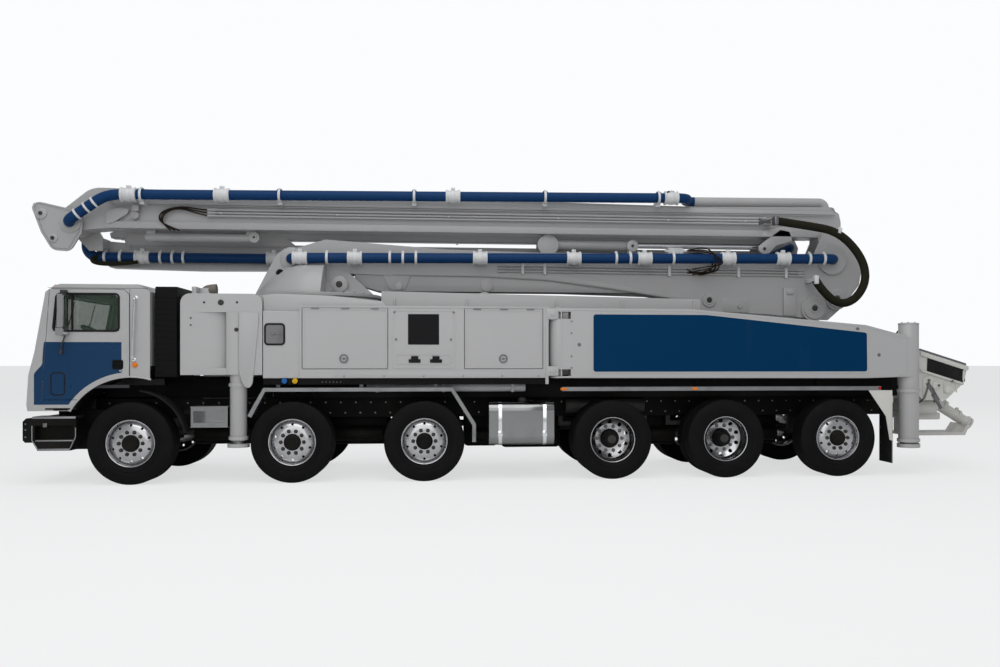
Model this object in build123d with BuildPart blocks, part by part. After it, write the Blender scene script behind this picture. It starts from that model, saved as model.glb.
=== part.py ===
from build123d import *
import os
from math import atan2, cos, degrees, hypot, radians, sin

# Truck-mounted concrete pump, parked: four-section boom folded over the truck, outriggers in, doors shut.
# Millimetres. Origin on the ground under the middle of the truck, -X forwards, +X rearwards,
# -Y the left side (driver's side), +Y the right side, +Z up.

os.makedirs("parts", exist_ok=True)

# ---------------------------------------------------------------- driving dimensions
half_width = 1250  # outside of tyres, toolboxes and outriggers
fit_gap = 0.3  # between pieces that seat on each other
door_gap = 6  # round a door or lid
running_gap = 0.4  # radial, round a pin or spindle

# Running gear
tyre_radius = 512
tyre_width = 385  # single wheels
twin_tyre_width = 280
twin_space = 40  # between the two tyres of a pair
wheel_z = tyre_radius
bead_inset = 45  # from the sidewall in to the bead
rim_radius = 285.5
rim_flange_radius = 299
rim_wall = 12
hub_radius = 92
spindle_radius = 55
hand_hole_radius = 27
hand_hole_circle = 210
hand_holes = 10
axle_x = (-5065, -3099, -1443, 997, 2509, 4043)
kingpin_y = half_width - 370
single_axle_half = half_width - 270
drive_axle_half = half_width - 345
spindle_half = half_width - 95
kingpin_radius = 30
axle_tube_radius = 65

# Chassis
rail_y = 430  # outside face of each rail
rail_flange = 85
rail_web = 10
rail_bottom = 780
rail_top = 1040
rail_front = -6130
rail_rear = 5150

# Cab
cab_half_width = 1200
cab_wall = 50
cab_floor = 919
cab_roof = 2490
cab_front = -6290
cab_rear = -4835
arch_radius = 830
tunnel_half_width = 560
tunnel_top = 1480
door_front = -6120  # at the door's lower edge, where it hinges
door_front_top = -6026
door_rear = -5085
door_bottom = 1060
door_top = 2425
glass_thickness = 10
windscreen_half_width = 1080
windscreen_low = 1670
windscreen_high = 2370
windscreen_bulge = 45  # in front of the cab's pillars
windscreen_inset = 15  # of its edges, behind them
mirror_x = (-5852, -5786)
mirror_y = (cab_half_width + 50, cab_half_width + 230)

# Body
body_bottom = 1320
body_top = 2235
toolbox_front = -3004
toolbox_rear = 110
toolbox_depth = 450
body_wall = 40
door_leaf = 35
deck_top = body_bottom
deck_plate = 80
deck_half_width = half_width - 20
deck_front = -3450
rear_deck_top = 1200
rear_deck_half_width = 780
bulkhead_thickness = 40
arm_hinge_x = 297
arm_thickness = 250
arm_pin_radius = 38
pedestal_radius = 500

# Outriggers
housing_front = -4458
housing_rear = -3463
housing_top = 2380
housing_bottom = 1363
front_jack_x = -3775
front_jack_radius = 104
front_jack_y = 1130
front_jack_foot = 450
rear_jack_x = 5082
rear_jack_radius = 133
rear_jack_y = half_width - rear_jack_radius - 2
rear_jack_foot = 369

# Boom: pins A (turret), B (rear knuckle), C (front knuckle) and D (between sections 3 and 4)
slew_x = -2912
turret_bottom = housing_top + 15
pin_a = (-3263, 2930)
pin_b = (4380, 3000)
pin_c = (-6149, 3389)
pin_d = (4000, 3245)
boom_pin_radius = 80
boom_pin_bore = boom_pin_radius + running_gap
tip_pin_radius = 70
section_1_half = 200
section_2_half = 165
side_gap = 10  # between a section and the plates that straddle it
section_3_near = 450
section_3_far = 710
lift_pin = (-2602, 2650)  # foot of the lifting cylinder's rod, on the turret
lift_eye = (2572, 2510)
lift_barrel_radius = 75
lift_rod_radius = 45
lift_barrel_start = 1950  # from the foot pin to the barrel's gland
fold_z = 3200
fold_barrel = (309, 1510)
fold_eye_x = 3450
fold_barrel_radius = 75
fold_rod_radius = 42
pipe_radius = 70
pipe_y = 360
far_pipe_y = 345
tip_pipe_y = 840
collar_radius = 86
collar_length = 60

hose_y = -515
hose_radius = 60
hose_route = ((3435, 3507), (4311, 3393), (4752, 2945), (4649, 2476), (4384, 2361), (4018, 2683))
hose_bends = (600, 600, 250, 250)

# Hopper
hopper_half_width = 820
hopper_wall = 12
outlet_bore_radius = 62.5


# ---------------------------------------------------------------- helpers
def outline_plate(points, y_from, y_to, mode=Mode.ADD):
    """A plate whose outline (x, z) is a closed polygon, between two y."""
    with BuildSketch(Plane.XZ.offset(-max(y_from, y_to))) as outline:
        with BuildLine():
            Polyline(*points, close=True)
        make_face()
    extrude(outline.sketch, amount=abs(y_to - y_from), mode=mode)


def block(x_from, x_to, y_from, y_to, z_from, z_to, mode=Mode.ADD):
    """A box between two corners."""
    with Locations(((x_from + x_to) / 2, (y_from + y_to) / 2, (z_from + z_to) / 2)):
        Box(x_to - x_from, abs(y_to - y_from), z_to - z_from, mode=mode)


def cross_bar(x, z, radius, y_from, y_to, mode=Mode.ADD):
    """A round bar along Y."""
    with Locations(Location((x, (y_from + y_to) / 2, z), (90, 0, 0))):
        Cylinder(radius, abs(y_to - y_from), mode=mode)


def post(x, y, radius, z_from, z_to, mode=Mode.ADD):
    """A round bar along Z."""
    with Locations((x, y, (z_from + z_to) / 2)):
        Cylinder(radius, z_to - z_from, mode=mode)


def rod_in_side_view(start, end, radius, y=0, mode=Mode.ADD):
    """A round bar in a plane of constant y, from one (x, z) to another."""
    length = hypot(end[0] - start[0], end[1] - start[1])
    tilt = degrees(atan2(end[0] - start[0], end[1] - start[1]))
    middle = ((start[0] + end[0]) / 2, y, (start[1] + end[1]) / 2)
    with Locations(Location(middle, (0, tilt, 0))):
        Cylinder(radius, length, mode=mode)


def along(start, end, distance):
    """The (x, z) that lies a distance from start towards end."""
    length = hypot(end[0] - start[0], end[1] - start[1])
    share = distance / length
    return (start[0] + (end[0] - start[0]) * share, start[1] + (end[1] - start[1]) * share)


def ring(points, x, z, mode=Mode.ADD):
    """A body of revolution about the line along Y through (x, z); its points are (radius, y)."""
    with BuildSketch(Plane(origin=(x, 0, z), x_dir=(1, 0, 0), z_dir=(0, 0, 1))) as section:
        with BuildLine():
            Polyline(*points, close=True)
        make_face()
    revolve(section.sketch, axis=Axis((x, 0, z), (0, 1, 0)), mode=mode)


def tube_along(points, radii, radius, mode=Mode.ADD):
    """A round bar along straight runs joined by arcs."""
    with BuildLine() as route:
        FilletPolyline(*points, radius=radii)
    with BuildSketch(Plane(origin=route.line @ 0, z_dir=route.line % 0)) as section:
        Circle(radius)
    sweep(section.sketch, path=route.line, mode=mode)


def finish(piece, name):
    """Labels a finished piece and writes its STEP file."""
    piece.part.label = name
    export_step(piece.part, f"parts/{name}.step")


sides = ((-1, "left"), (1, "right"))

# ---------------------------------------------------------------- chassis frame
cross_members = (-6000, -4180, -2250, -200, 1750, 3200, 5080)
with BuildPart() as chassis_frame:
    for side, _ in sides:
        block(rail_front, rail_rear, side * (rail_y - rail_flange), side * rail_y, rail_bottom, rail_top)
        block(
            rail_front - 1,
            rail_rear + 1,
            side * (rail_y - rail_flange - 1),
            side * (rail_y - rail_web),
            rail_bottom + rail_web,
            rail_top - rail_web,
            mode=Mode.SUBTRACT,
        )
        # front mounts of the cab
        block(-6120, -6040, side * (rail_y - rail_flange), side * rail_y, rail_top - 5, 1100 - fit_gap)
    for x in cross_members:
        block(x - 45, x + 45, -(rail_y - rail_web), rail_y - rail_web, rail_bottom + 45, rail_top - 45)
finish(chassis_frame, "chassis_frame")

# ---------------------------------------------------------------- axles with their springs
# name, x, half length of the tube, radius of the differential (0: none), air springs or leaves
axle_rows = (
    ("pusher_front", axle_x[1], single_axle_half, 0, "air"),
    ("pusher_rear", axle_x[2], single_axle_half, 0, "air"),
    ("drive_front", axle_x[3], drive_axle_half, 205, "leaf"),
    ("drive_rear", axle_x[4], drive_axle_half, 205, "leaf"),
    ("tag", axle_x[5], single_axle_half, 0, "air"),
)
spring_y = rail_y - rail_flange / 2
knuckle_boss_radius = 58
with BuildPart() as axles:
    for _, x, half_length, differential, springs in axle_rows:
        cross_bar(x, wheel_z, axle_tube_radius, -half_length, half_length)
        cross_bar(x, wheel_z, spindle_radius, -spindle_half, spindle_half)
        if differential:
            with Locations((x, 0, wheel_z)):
                Sphere(differential)
        for side, _ in sides:
            if springs == "air":
                post(x, side * spring_y, 105, wheel_z + 20, rail_bottom - fit_gap)
            else:
                block(x - 620, x + 620, side * spring_y - 40, side * spring_y + 40, 650, 705)
                block(x - 60, x + 60, side * spring_y - 55, side * spring_y + 55, wheel_z, 710)
                for end in (-1, 1):
                    block(
                        x + end * 590 - 30,
                        x + end * 590 + 30,
                        side * spring_y - 40,
                        side * spring_y + 40,
                        650,
                        rail_bottom - fit_gap,
                    )
    # front axle: a dropped beam on two leaf springs, with a kingpin at each end
    x = axle_x[0]
    block(x - 50, x + 50, -700, 700, 335, 440)
    for side, _ in sides:
        block(x - 42, x + 42, side * 640, side * kingpin_y, wheel_z - 55, wheel_z + 55)
        block(x - 50, x + 50, side * 640, side * 710, 335, wheel_z + 55)
        post(x, side * kingpin_y, knuckle_boss_radius, wheel_z - 60, wheel_z + 60)
        post(x, side * kingpin_y, kingpin_radius, wheel_z - 100, wheel_z + 100)
        block(x - 700, x + 700, side * spring_y - 40, side * spring_y + 40, 560, 620)
        block(x - 60, x + 60, side * spring_y - 50, side * spring_y + 50, 430, 625)
        for end in (-1, 1):
            block(
                x + end * 670 - 30,
                x + end * 670 + 30,
                side * spring_y - 40,
                side * spring_y + 40,
                560,
                rail_bottom - fit_gap,
            )
finish(axles, "axles")

# ---------------------------------------------------------------- steering knuckles
for side, hand in sides:
    with BuildPart() as knuckle:
        x = axle_x[0]
        for level in (-1, 1):
            z = wheel_z + level * 80
            block(x - 60, x + 60, side * (kingpin_y - 60), side * (kingpin_y + 95), z - 15, z + 15)
        block(x - 60, x + 60, side * (kingpin_y + 68), side * (kingpin_y + 95), wheel_z - 95, wheel_z + 95)
        cross_bar(x, wheel_z, spindle_radius, side * (kingpin_y + 90), side * spindle_half)
        kingpin_bore = kingpin_radius + running_gap
        post(x, side * kingpin_y, kingpin_bore, wheel_z - 110, wheel_z + 110, mode=Mode.SUBTRACT)
    finish(knuckle, f"knuckle_{hand}")


# ---------------------------------------------------------------- wheels
def tyre(outside_y, width, side):
    """The half sections of a tyre, as (radius, y) points, with its outer sidewall at outside_y."""
    inside_y = outside_y - width
    points = (
        (rim_radius + fit_gap, inside_y + bead_inset),
        (rim_flange_radius + fit_gap, inside_y + bead_inset),
        (rim_flange_radius + 60, inside_y),
        (tyre_radius - 85, inside_y),
        (tyre_radius - 25, inside_y + 18),
        (tyre_radius, inside_y + 60),
        (tyre_radius, outside_y - 60),
        (tyre_radius - 25, outside_y - 18),
        (tyre_radius - 85, outside_y),
        (rim_flange_radius + 60, outside_y),
        (rim_flange_radius + fit_gap, outside_y - bead_inset),
        (rim_radius + fit_gap, outside_y - bead_inset),
    )
    return [(radius, side * y) for radius, y in points]


flange_width = 14
# number, x, width of each tyre, twin tyres
wheel_rows = (
    (1, axle_x[0], tyre_width, False),
    (2, axle_x[1], tyre_width, False),
    (3, axle_x[2], tyre_width, False),
    (4, axle_x[3], twin_tyre_width, True),
    (5, axle_x[4], twin_tyre_width, True),
    (6, axle_x[5], tyre_width, False),
)
hub_bore = spindle_radius + running_gap
barrel_inside = rim_radius - rim_wall
for number, x, width, twin in wheel_rows:
    tyres = (half_width, half_width - width - twin_space) if twin else (half_width,)
    if twin:
        disc_y = half_width - width
        hub_y = half_width - 75
        dish = 0
        hub_depth = 50
    else:
        disc_y = half_width - 50
        hub_y = half_width - 8
        dish = 45
        hub_depth = 150
    for side, hand in sides:
        with BuildPart() as wheel:
            # barrel and flanges
            outer = half_width - bead_inset + flange_width
            inner = tyres[-1] - width + bead_inset - flange_width
            barrel = ((barrel_inside, inner), (rim_radius, inner), (rim_radius, outer), (barrel_inside, outer))
            ring([(radius, side * y) for radius, y in barrel], x, wheel_z)
            for outside in tyres:
                outer_bead = outside - bead_inset
                inner_bead = outside - width + bead_inset
                flanges = (
                    (outer_bead + fit_gap, outer_bead + flange_width),
                    (inner_bead - flange_width, inner_bead - fit_gap),
                )
                for near, far in flanges:
                    flange = (
                        (barrel_inside, near),
                        (rim_flange_radius, near),
                        (rim_flange_radius, far),
                        (barrel_inside, far),
                    )
                    ring([(radius, side * y) for radius, y in flange], x, wheel_z)
            # disc and hub
            disc = (
                (hub_bore, disc_y - hub_depth),
                (hub_radius + 20, disc_y - hub_depth),
                (hub_radius + 20, disc_y - 30),
                (175, disc_y - 22),
                (barrel_inside + 2, disc_y - 22 - dish),
                (barrel_inside + 2, disc_y - dish),
                (185, disc_y),
                (hub_radius, disc_y),
                (hub_radius - 12, hub_y),
                (0, hub_y),
                (0, hub_y - 20),
                (hub_bore, hub_y - 20),
            )
            ring([(radius, side * y) for radius, y in disc], x, wheel_z)
            for n in range(hand_holes):
                turn = radians(360 / hand_holes * (n + 0.5))
                cross_bar(
                    x + hand_hole_circle * cos(turn),
                    wheel_z + hand_hole_circle * sin(turn),
                    hand_hole_radius,
                    side * (disc_y - 90),
                    side * (disc_y + 20),
                    mode=Mode.SUBTRACT,
                )
            for outside in tyres:
                ring(tyre(outside, width, side), x, wheel_z)
        finish(wheel, f"wheel_{number}_{hand}")

# ---------------------------------------------------------------- cab
windscreen_rake = (2390 - 1648) / (6208 - 6078)  # rise for each millimetre back
cab_outline = (
    (cab_front, cab_floor),
    (-6302, 994),
    (-6279, 1364),
    (-6208, 1648),
    (-6078, 2390),
    (-5980, 2465),
    (-5901, cab_roof),
    (-4969, cab_roof),
    (cab_rear, 2400),
    (cab_rear, cab_floor),
)
window_front = -5992
window_rear = -5205
window_bottom = 1909
window_top = 2370
corner_cut = 60
door_edge_rake = (door_front_top - door_front) / (door_top - door_bottom)
door_outline = (
    (door_front, door_bottom),
    (door_rear, door_bottom),
    (door_rear, door_top - corner_cut),
    (door_rear - corner_cut, door_top),
    (door_front_top, door_top),
)
door_window = (
    (window_front, window_bottom),
    (window_rear, window_bottom),
    (window_rear, window_top - corner_cut),
    (window_rear - corner_cut, window_top),
    (window_front + 80, window_top),
    (window_front + 35, window_top - 45),
)


def grown(points, amount):
    """An outline moved out (or in) by an amount, with sharp corners."""
    with BuildSketch(Plane.XZ) as flat:
        with BuildLine():
            Polyline(*points, close=True)
        make_face()
        offset(amount=amount, kind=Kind.INTERSECTION)
    return flat.sketch


def outline_slab(sketch, y_from, y_to, mode=Mode.ADD):
    """A plate whose outline is a sketch on the XZ plane, between two y."""
    extrude(sketch.moved(Location((0, max(y_from, y_to), 0))), amount=abs(y_to - y_from), mode=mode)


arch_x = axle_x[0]
with BuildPart() as cab_cavity:
    outline_slab(grown(cab_outline, -cab_wall), -cab_half_width + cab_wall, cab_half_width - cab_wall)
    cross_bar(arch_x, wheel_z, arch_radius + cab_wall, -cab_half_width, cab_half_width, mode=Mode.SUBTRACT)

tunnel_wall = cab_wall / 2
with BuildPart() as cab_shell:
    outline_plate(cab_outline, -cab_half_width, cab_half_width)
    cross_bar(arch_x, wheel_z, arch_radius, -cab_half_width - 1, cab_half_width + 1, mode=Mode.SUBTRACT)
    add(cab_cavity.part, mode=Mode.SUBTRACT)
    # engine tunnel
    block(
        -5750,
        cab_rear,
        -tunnel_half_width - tunnel_wall,
        tunnel_half_width + tunnel_wall,
        wheel_z + arch_radius - 120,
        tunnel_top + tunnel_wall,
    )
    block(-6205, -5700, -tunnel_half_width - tunnel_wall, tunnel_half_width + tunnel_wall, cab_floor, 1125)
    block(
        -5725,
        cab_rear + 1,
        -tunnel_half_width,
        tunnel_half_width,
        cab_floor - 1,
        tunnel_top,
        mode=Mode.SUBTRACT,
    )
    block(-6180, -5700, -tunnel_half_width, tunnel_half_width, cab_floor - 1, 1100, mode=Mode.SUBTRACT)
    # windscreen
    block(
        cab_front - 100,
        -5960,
        -windscreen_half_width,
        windscreen_half_width,
        windscreen_low,
        windscreen_high,
        mode=Mode.SUBTRACT,
    )
    for side, _ in sides:
        outline_slab(
            grown(door_outline, door_gap),
            side * (cab_half_width - cab_wall - 1),
            side * (cab_half_width + 1),
            mode=Mode.SUBTRACT,
        )
    # door hinges
    for side, _ in sides:
        for z in (1300, 2150):
            door_edge = door_front + (z - door_bottom) * door_edge_rake
            block(
                door_edge - door_gap - 10,
                door_edge - fit_gap,
                side * (cab_half_width - cab_wall),
                side * cab_half_width,
                z,
                z + 80,
            )
finish(cab_shell, "cab_shell")

for side, hand in sides:
    with BuildPart() as cab_door:
        outline_plate(door_outline, side * (cab_half_width - cab_wall), side * cab_half_width)
        outline_plate(
            door_window,
            side * (cab_half_width - cab_wall - 1),
            side * (cab_half_width + 1),
            mode=Mode.SUBTRACT,
        )
        cross_bar(
            arch_x,
            wheel_z,
            arch_radius + door_gap,
            side * (cab_half_width - cab_wall - 1),
            side * (cab_half_width + 1),
            mode=Mode.SUBTRACT,
        )
        # mirrors on a post between two arms
        mirror_low = window_bottom - 60
        mirror_arms = (mirror_low, window_top + 10)
        post(mirror_x[0] + 20, side * mirror_y[0], 13, mirror_low, mirror_arms[1] + 20)
        for z in mirror_arms:
            block(mirror_x[0] + 5, mirror_x[0] + 35, side * (cab_half_width - 1), side * mirror_y[0], z, z + 20)
        block(*mirror_x, side * mirror_y[0], side * mirror_y[1], window_bottom + 36, window_top - 20)
        block(
            mirror_x[0] - 20,
            mirror_x[1],
            side * mirror_y[0],
            side * mirror_y[1],
            mirror_low,
            window_bottom + 26,
        )
    finish(cab_door, f"cab_door_{hand}")
    with BuildPart() as door_glass:
        glass_y = cab_half_width - 30
        outline_slab(grown(door_window, -fit_gap), side * glass_y, side * (glass_y - glass_thickness))
    finish(door_glass, f"cab_door_glass_{hand}")


def on_windscreen(z, depth):
    """The x that lies a depth behind the windscreen's outer plane at a height."""
    return -6208 + (z - 1648) / windscreen_rake + depth


with BuildPart() as windscreen:
    glass_low = windscreen_low + fit_gap
    glass_edge = windscreen_half_width - fit_gap
    glass_bend = windscreen_half_width - 80
    # depth behind the pillars and y of the glass's outside
    bend = (
        (windscreen_inset, -glass_edge),
        (-windscreen_bulge, -glass_bend),
        (-windscreen_bulge, glass_bend),
        (windscreen_inset, glass_edge),
    )
    outer = [(on_windscreen(glass_low, depth), y) for depth, y in bend]
    inner = [(on_windscreen(glass_low, depth + glass_thickness), y) for depth, y in reversed(bend)]
    with BuildSketch(Plane.XY.offset(glass_low)):
        with BuildLine():
            Polyline(*outer, *inner, close=True)
        make_face()
    glass_height = windscreen_high - fit_gap - glass_low
    extrude(amount=glass_height * hypot(1, 1 / windscreen_rake), dir=(1 / windscreen_rake, 0, 1))
finish(windscreen, "windscreen")

seat_base = tunnel_top + tunnel_wall + fit_gap
with BuildPart() as cab_interior:
    for side in (-1, 1):
        block(-5480, -5120, side * 330, side * 570, seat_base, 1760)
        block(-5620, -5080, side * 320, side * 820, 1740, 1870)
        outline_plate(
            ((-5120, 1800), (-5040, 2360), (-4950, 2360), (-5020, 1760), (-5100, 1760)), side * 320, side * 820
        )
    outline_plate(
        ((-6185, 1500), (-6145, 1690), (-5890, 1720), (-5850, 1600), (-5930, 1500)),
        -cab_half_width + cab_wall + fit_gap,
        cab_half_width - cab_wall - fit_gap,
    )
    # steering column and wheel
    rod_in_side_view((-5900, 1600), (-5680, 1880), 28, y=-570)
    with Locations(Location((-5680, -570, 1880), (0, 32, 0))):
        Torus(225, 17)
        Box(440, 40, 18)
        Box(40, 440, 18)
finish(cab_interior, "cab_interior")

bumper_front = -6350
bumper_low = 530
bumper_high = 830
bumper_half_width = cab_half_width - 10
bumper_outline = (
    (bumper_front, bumper_low + 30),
    (bumper_front, bumper_high - 40),
    (bumper_front + 40, bumper_high),
    (rail_front - fit_gap, bumper_high),
    (rail_front - fit_gap, bumper_low),
    (bumper_front + 30, bumper_low),
)
step_front = -6243
step_rear = -5715
step_low = 430
step_box = (
    (step_front, step_low + 120),
    (step_front, bumper_high),
    (step_rear, bumper_high),
    (step_rear, step_low + 150),
    (step_rear - 70, step_low),
    (step_front + 70, step_low),
)
step_inside = 900
with BuildPart() as bumper:
    outline_plate(bumper_outline, -bumper_half_width, bumper_half_width)
    for side, _ in sides:
        outline_plate(step_box, side * step_inside, side * (cab_half_width - 5))
        block(
            step_front + 35,
            step_rear - 35,
            side * (step_inside + 160),
            side * cab_half_width,
            step_low + 120,
            bumper_high - 90,
            mode=Mode.SUBTRACT,
        )
        # splash plate in front of the wheel
        block(rail_front - 1, -5560, side * 640, side * 660, 400, 910)
finish(bumper, "bumper")

# ---------------------------------------------------------------- engine, intake and exhaust
with BuildPart() as engine:
    block(-5650, -4810, -400, 400, 1050, 1440)
    block(-5650, -4810, -rail_y + rail_flange + fit_gap, rail_y - rail_flange - fit_gap, 640, 1060)
    # air intake behind the cab
    block(-4790, -4520, -1150, -380, 1330, 2470)
    block(-4700, -4600, -440, -350, rail_top + fit_gap, 1340)
    block(-4790, -4520, -440, -350, 1330, 1420)
finish(engine, "engine_and_intake")

# ---------------------------------------------------------------- tanks and steps
tank_brackets = (-520, -180, 140)
with BuildPart() as tanks:
    for side, _ in sides:
        with BuildSketch(Plane.YZ.offset(-616)) as section:
            with Locations((side * 920, 730)):
                RectangleRounded(620, 557, 110)
        extrude(section.sketch, amount=843)
        for x in tank_brackets:
            block(x - 20, x + 20, side * (rail_y + fit_gap), side * 640, 800, 960)
    # step boxes behind the cab
    for side, _ in sides:
        block(-4345, -3895, side * (rail_y + fit_gap), side * 1190, 709, 962)
        block(-4345 + 30, -3895 - 30, side * 900, side * 1191, 760, 910, mode=Mode.SUBTRACT)
finish(tanks, "side_tanks")

# ---------------------------------------------------------------- mudguards
guard = 10
guard_in = 860
guard_top = 1199
guard_edge = half_width - 5
lamp_rail_in = half_width - 60
lamp_rail_out = half_width - 15


def long_guard(sheet):
    """The outline of the guard over the second and third wheels, with a sheet of some thickness."""
    return (
        (deck_front - 195, 849),
        (deck_front - 1, guard_top),
        (-1079, guard_top),
        (-785, 730),
        (-785, 499),
        (-785 - sheet, 499),
        (-785 - sheet, 730 - sheet * 0.3),
        (-1079 - sheet / 2, guard_top - sheet),
        (deck_front - 1 + sheet / 2, guard_top - sheet),
        (deck_front - 195 + sheet, 849 - sheet / 2),
    )


# steered wheels: an arc behind the wheel
with BuildSketch(Plane.XZ) as front_guard:
    with Locations((arch_x, wheel_z)):
        Circle(668)
        Circle(652, mode=Mode.SUBTRACT)
    with Locations((arch_x + 400, 970)):
        Rectangle(600, 660, mode=Mode.INTERSECT)

with BuildPart() as mudguards:
    for side, _ in sides:
        outline_plate(long_guard(guard), side * guard_in, side * guard_edge)
        outline_plate(long_guard(48), side * (guard_edge - 8), side * guard_edge)
        for x in (-3300, -2250, -1300):
            block(
                x - 25,
                x + 25,
                side * (rail_y - 100),
                side * (guard_in + 200),
                guard_top - guard,
                deck_top - deck_plate - fit_gap,
            )
        outline_slab(front_guard.sketch, side * guard_in, side * (half_width - 55))
        block(arch_x + 560, arch_x + 640, side * (rail_y + fit_gap), side * (guard_in + 30), 860, 900)
    # rail with side lamps, and its brackets
    for side, _ in sides:
        block(332, 4638, side * lamp_rail_in, side * lamp_rail_out, 1148, 1200)
        for x in (420, 1750, 3200, 4560):
            block(x - 25, x + 25, side * (rear_deck_half_width + fit_gap), side * (lamp_rail_in + 10), 1150, 1190)
        # flap behind the last wheels
        block(4790, 4802, side * guard_in, side * deck_half_width, 166, 1060)
        block(4770, 4802, side * (rail_y + fit_gap), side * deck_half_width, 990, 1030)
finish(mudguards, "mudguards")

# ---------------------------------------------------------------- deck with the turret's pedestal
bulkhead_front = toolbox_rear + fit_gap
bulkhead_rear = bulkhead_front + bulkhead_thickness
arm_y = half_width - arm_thickness / 2
lug_heights = ((1345, 1425), (2090, 2170))
with BuildPart() as deck:
    block(deck_front, bulkhead_rear, -deck_half_width, deck_half_width, deck_top - deck_plate, deck_top)
    for x in (-3380, -1900, -900, -50):
        block(x - 50, x + 50, -rail_y, rail_y, rail_top + fit_gap, deck_top - deck_plate)
    post(slew_x, 0, pedestal_radius, deck_top - 10, turret_bottom - fit_gap)
    # bulkhead that carries the rear arms
    block(bulkhead_front, bulkhead_rear, -half_width, half_width, deck_top - deck_plate, body_top)
    for side, _ in sides:
        for low, high in lug_heights:
            block(bulkhead_rear - 1, arm_hinge_x, side * (arm_y - 55), side * (arm_y + 55), low, high)
            post(arm_hinge_x, side * arm_y, 55, low, high)
        post(arm_hinge_x, side * arm_y, arm_pin_radius, lug_heights[0][0] - 15, lug_heights[1][1] + 15)
    # tanks for water and oil between the toolboxes
    block(-2300, -350, -640, 640, deck_top - 1, 2080)
    # rear deck
    block(
        bulkhead_rear - 1,
        rail_rear,
        -rear_deck_half_width,
        rear_deck_half_width,
        rear_deck_top - 60,
        rear_deck_top,
    )
    for x in (700, 1750, 3200, 4900):
        block(x - 50, x + 50, -rail_y, rail_y, rail_top + fit_gap, rear_deck_top - 50)
    # rest for the folded boom
    block(3710, 3880, -400, 400, 1990, 2060)
    for side, _ in sides:
        block(3730, 3860, side * 300, side * 390, rear_deck_top - 1, 2000)
finish(deck, "deck")

# ---------------------------------------------------------------- pump unit between deck and hopper
hopper_front = 5380
with BuildPart() as pump_unit:
    for side, _ in sides:
        rod_in_side_view((1500, 1620), (hopper_front - 12, 1330), 115, y=side * 170)
    block(2900, 3500, -360, 360, rear_deck_top + fit_gap, 1700)
    block(1100, 1560, -330, 330, rear_deck_top + fit_gap, 1760)
finish(pump_unit, "pump_unit")

# ---------------------------------------------------------------- toolboxes
toolbox_inside = half_width - toolbox_depth
# front and rear edge of each compartment behind a door
compartments = ((-2975, -1900), (-935, 80))
service_top = 2167  # of the narrow part in front of the toolboxes
door_low = body_bottom + 114
door_high = body_top - 30
with BuildPart() as toolboxes:
    for side, _ in sides:
        block(
            toolbox_front,
            toolbox_rear,
            side * toolbox_inside,
            side * half_width,
            deck_top + fit_gap,
            body_top,
        )
        block(
            housing_rear + 8,
            toolbox_front + 1,
            side * toolbox_inside,
            side * (half_width - 15),
            deck_top + fit_gap,
            service_top,
        )
        for front, rear in compartments:
            block(
                front,
                rear,
                side * (toolbox_inside + body_wall),
                side * (half_width + 1),
                door_low,
                door_high,
                mode=Mode.SUBTRACT,
            )
finish(toolboxes, "toolboxes")
for side, hand in sides:
    for (front, rear), place in zip(compartments, ("front", "rear")):
        with BuildPart() as toolbox_door:
            block(
                front + door_gap,
                rear - door_gap,
                side * (half_width - door_leaf),
                side * half_width,
                door_low + door_gap,
                door_high - fit_gap,
            )
        finish(toolbox_door, f"toolbox_door_{place}_{hand}")

# ---------------------------------------------------------------- front outriggers
head_y = 1010
beam_gap = 6
# front and rear edge of the beam in its tunnel, for the left and the right outrigger
beam_edges = {-1: (-4400, -3990), 1: (-3930, -3520)}
beam_low = 1440
beam_high = 2290
with BuildPart() as outrigger_housing:
    block(housing_front, housing_rear, -head_y + beam_gap, head_y - beam_gap, housing_bottom, housing_top)
    for front, rear in beam_edges.values():
        block(
            front - beam_gap,
            rear + beam_gap,
            -head_y,
            head_y,
            beam_low - beam_gap,
            beam_high + beam_gap,
            mode=Mode.SUBTRACT,
        )
    block(-4380, -3560, -rail_y, rail_y, rail_top + fit_gap, housing_bottom + 1)
    # end of the exhaust on the housing's top
    post(-4250, -800, 82, housing_top - 5, 2475)
finish(outrigger_housing, "outrigger_housing")
front_jack_leg = 82
front_jack_bore = front_jack_leg + running_gap
for side, hand in sides:
    front, rear = beam_edges[side]
    with BuildPart() as front_beam:
        block(housing_front, housing_rear, side * head_y, side * (half_width - 5), housing_bottom, housing_top)
        fillet(front_beam.edges().filter_by(Axis.Y).group_by(Axis.Z)[-1], 120)
        block(-4350, -3902, side * (half_width - 110), side * half_width, 1450, 2147, mode=Mode.SUBTRACT)
        block(front, rear, side * (head_y + 1), side * (50 - head_y), beam_low, beam_high)
        # runner under the inner end
        block(
            front + 40,
            rear - 40,
            side * (50 - head_y),
            side * (200 - head_y),
            beam_low - beam_gap + fit_gap,
            beam_low + 1,
        )
        post(front_jack_x, side * front_jack_y, front_jack_radius, 537, 2162)
        post(front_jack_x, side * front_jack_y, front_jack_bore, 536, 1900, mode=Mode.SUBTRACT)
    finish(front_beam, f"front_beam_{hand}")
    with BuildPart() as front_jack:
        post(front_jack_x, side * front_jack_y, front_jack_leg, front_jack_foot, 1880)
        post(front_jack_x, side * front_jack_y, 135, front_jack_foot, front_jack_foot + 45)
    finish(front_jack, f"front_jack_{hand}")

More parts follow.
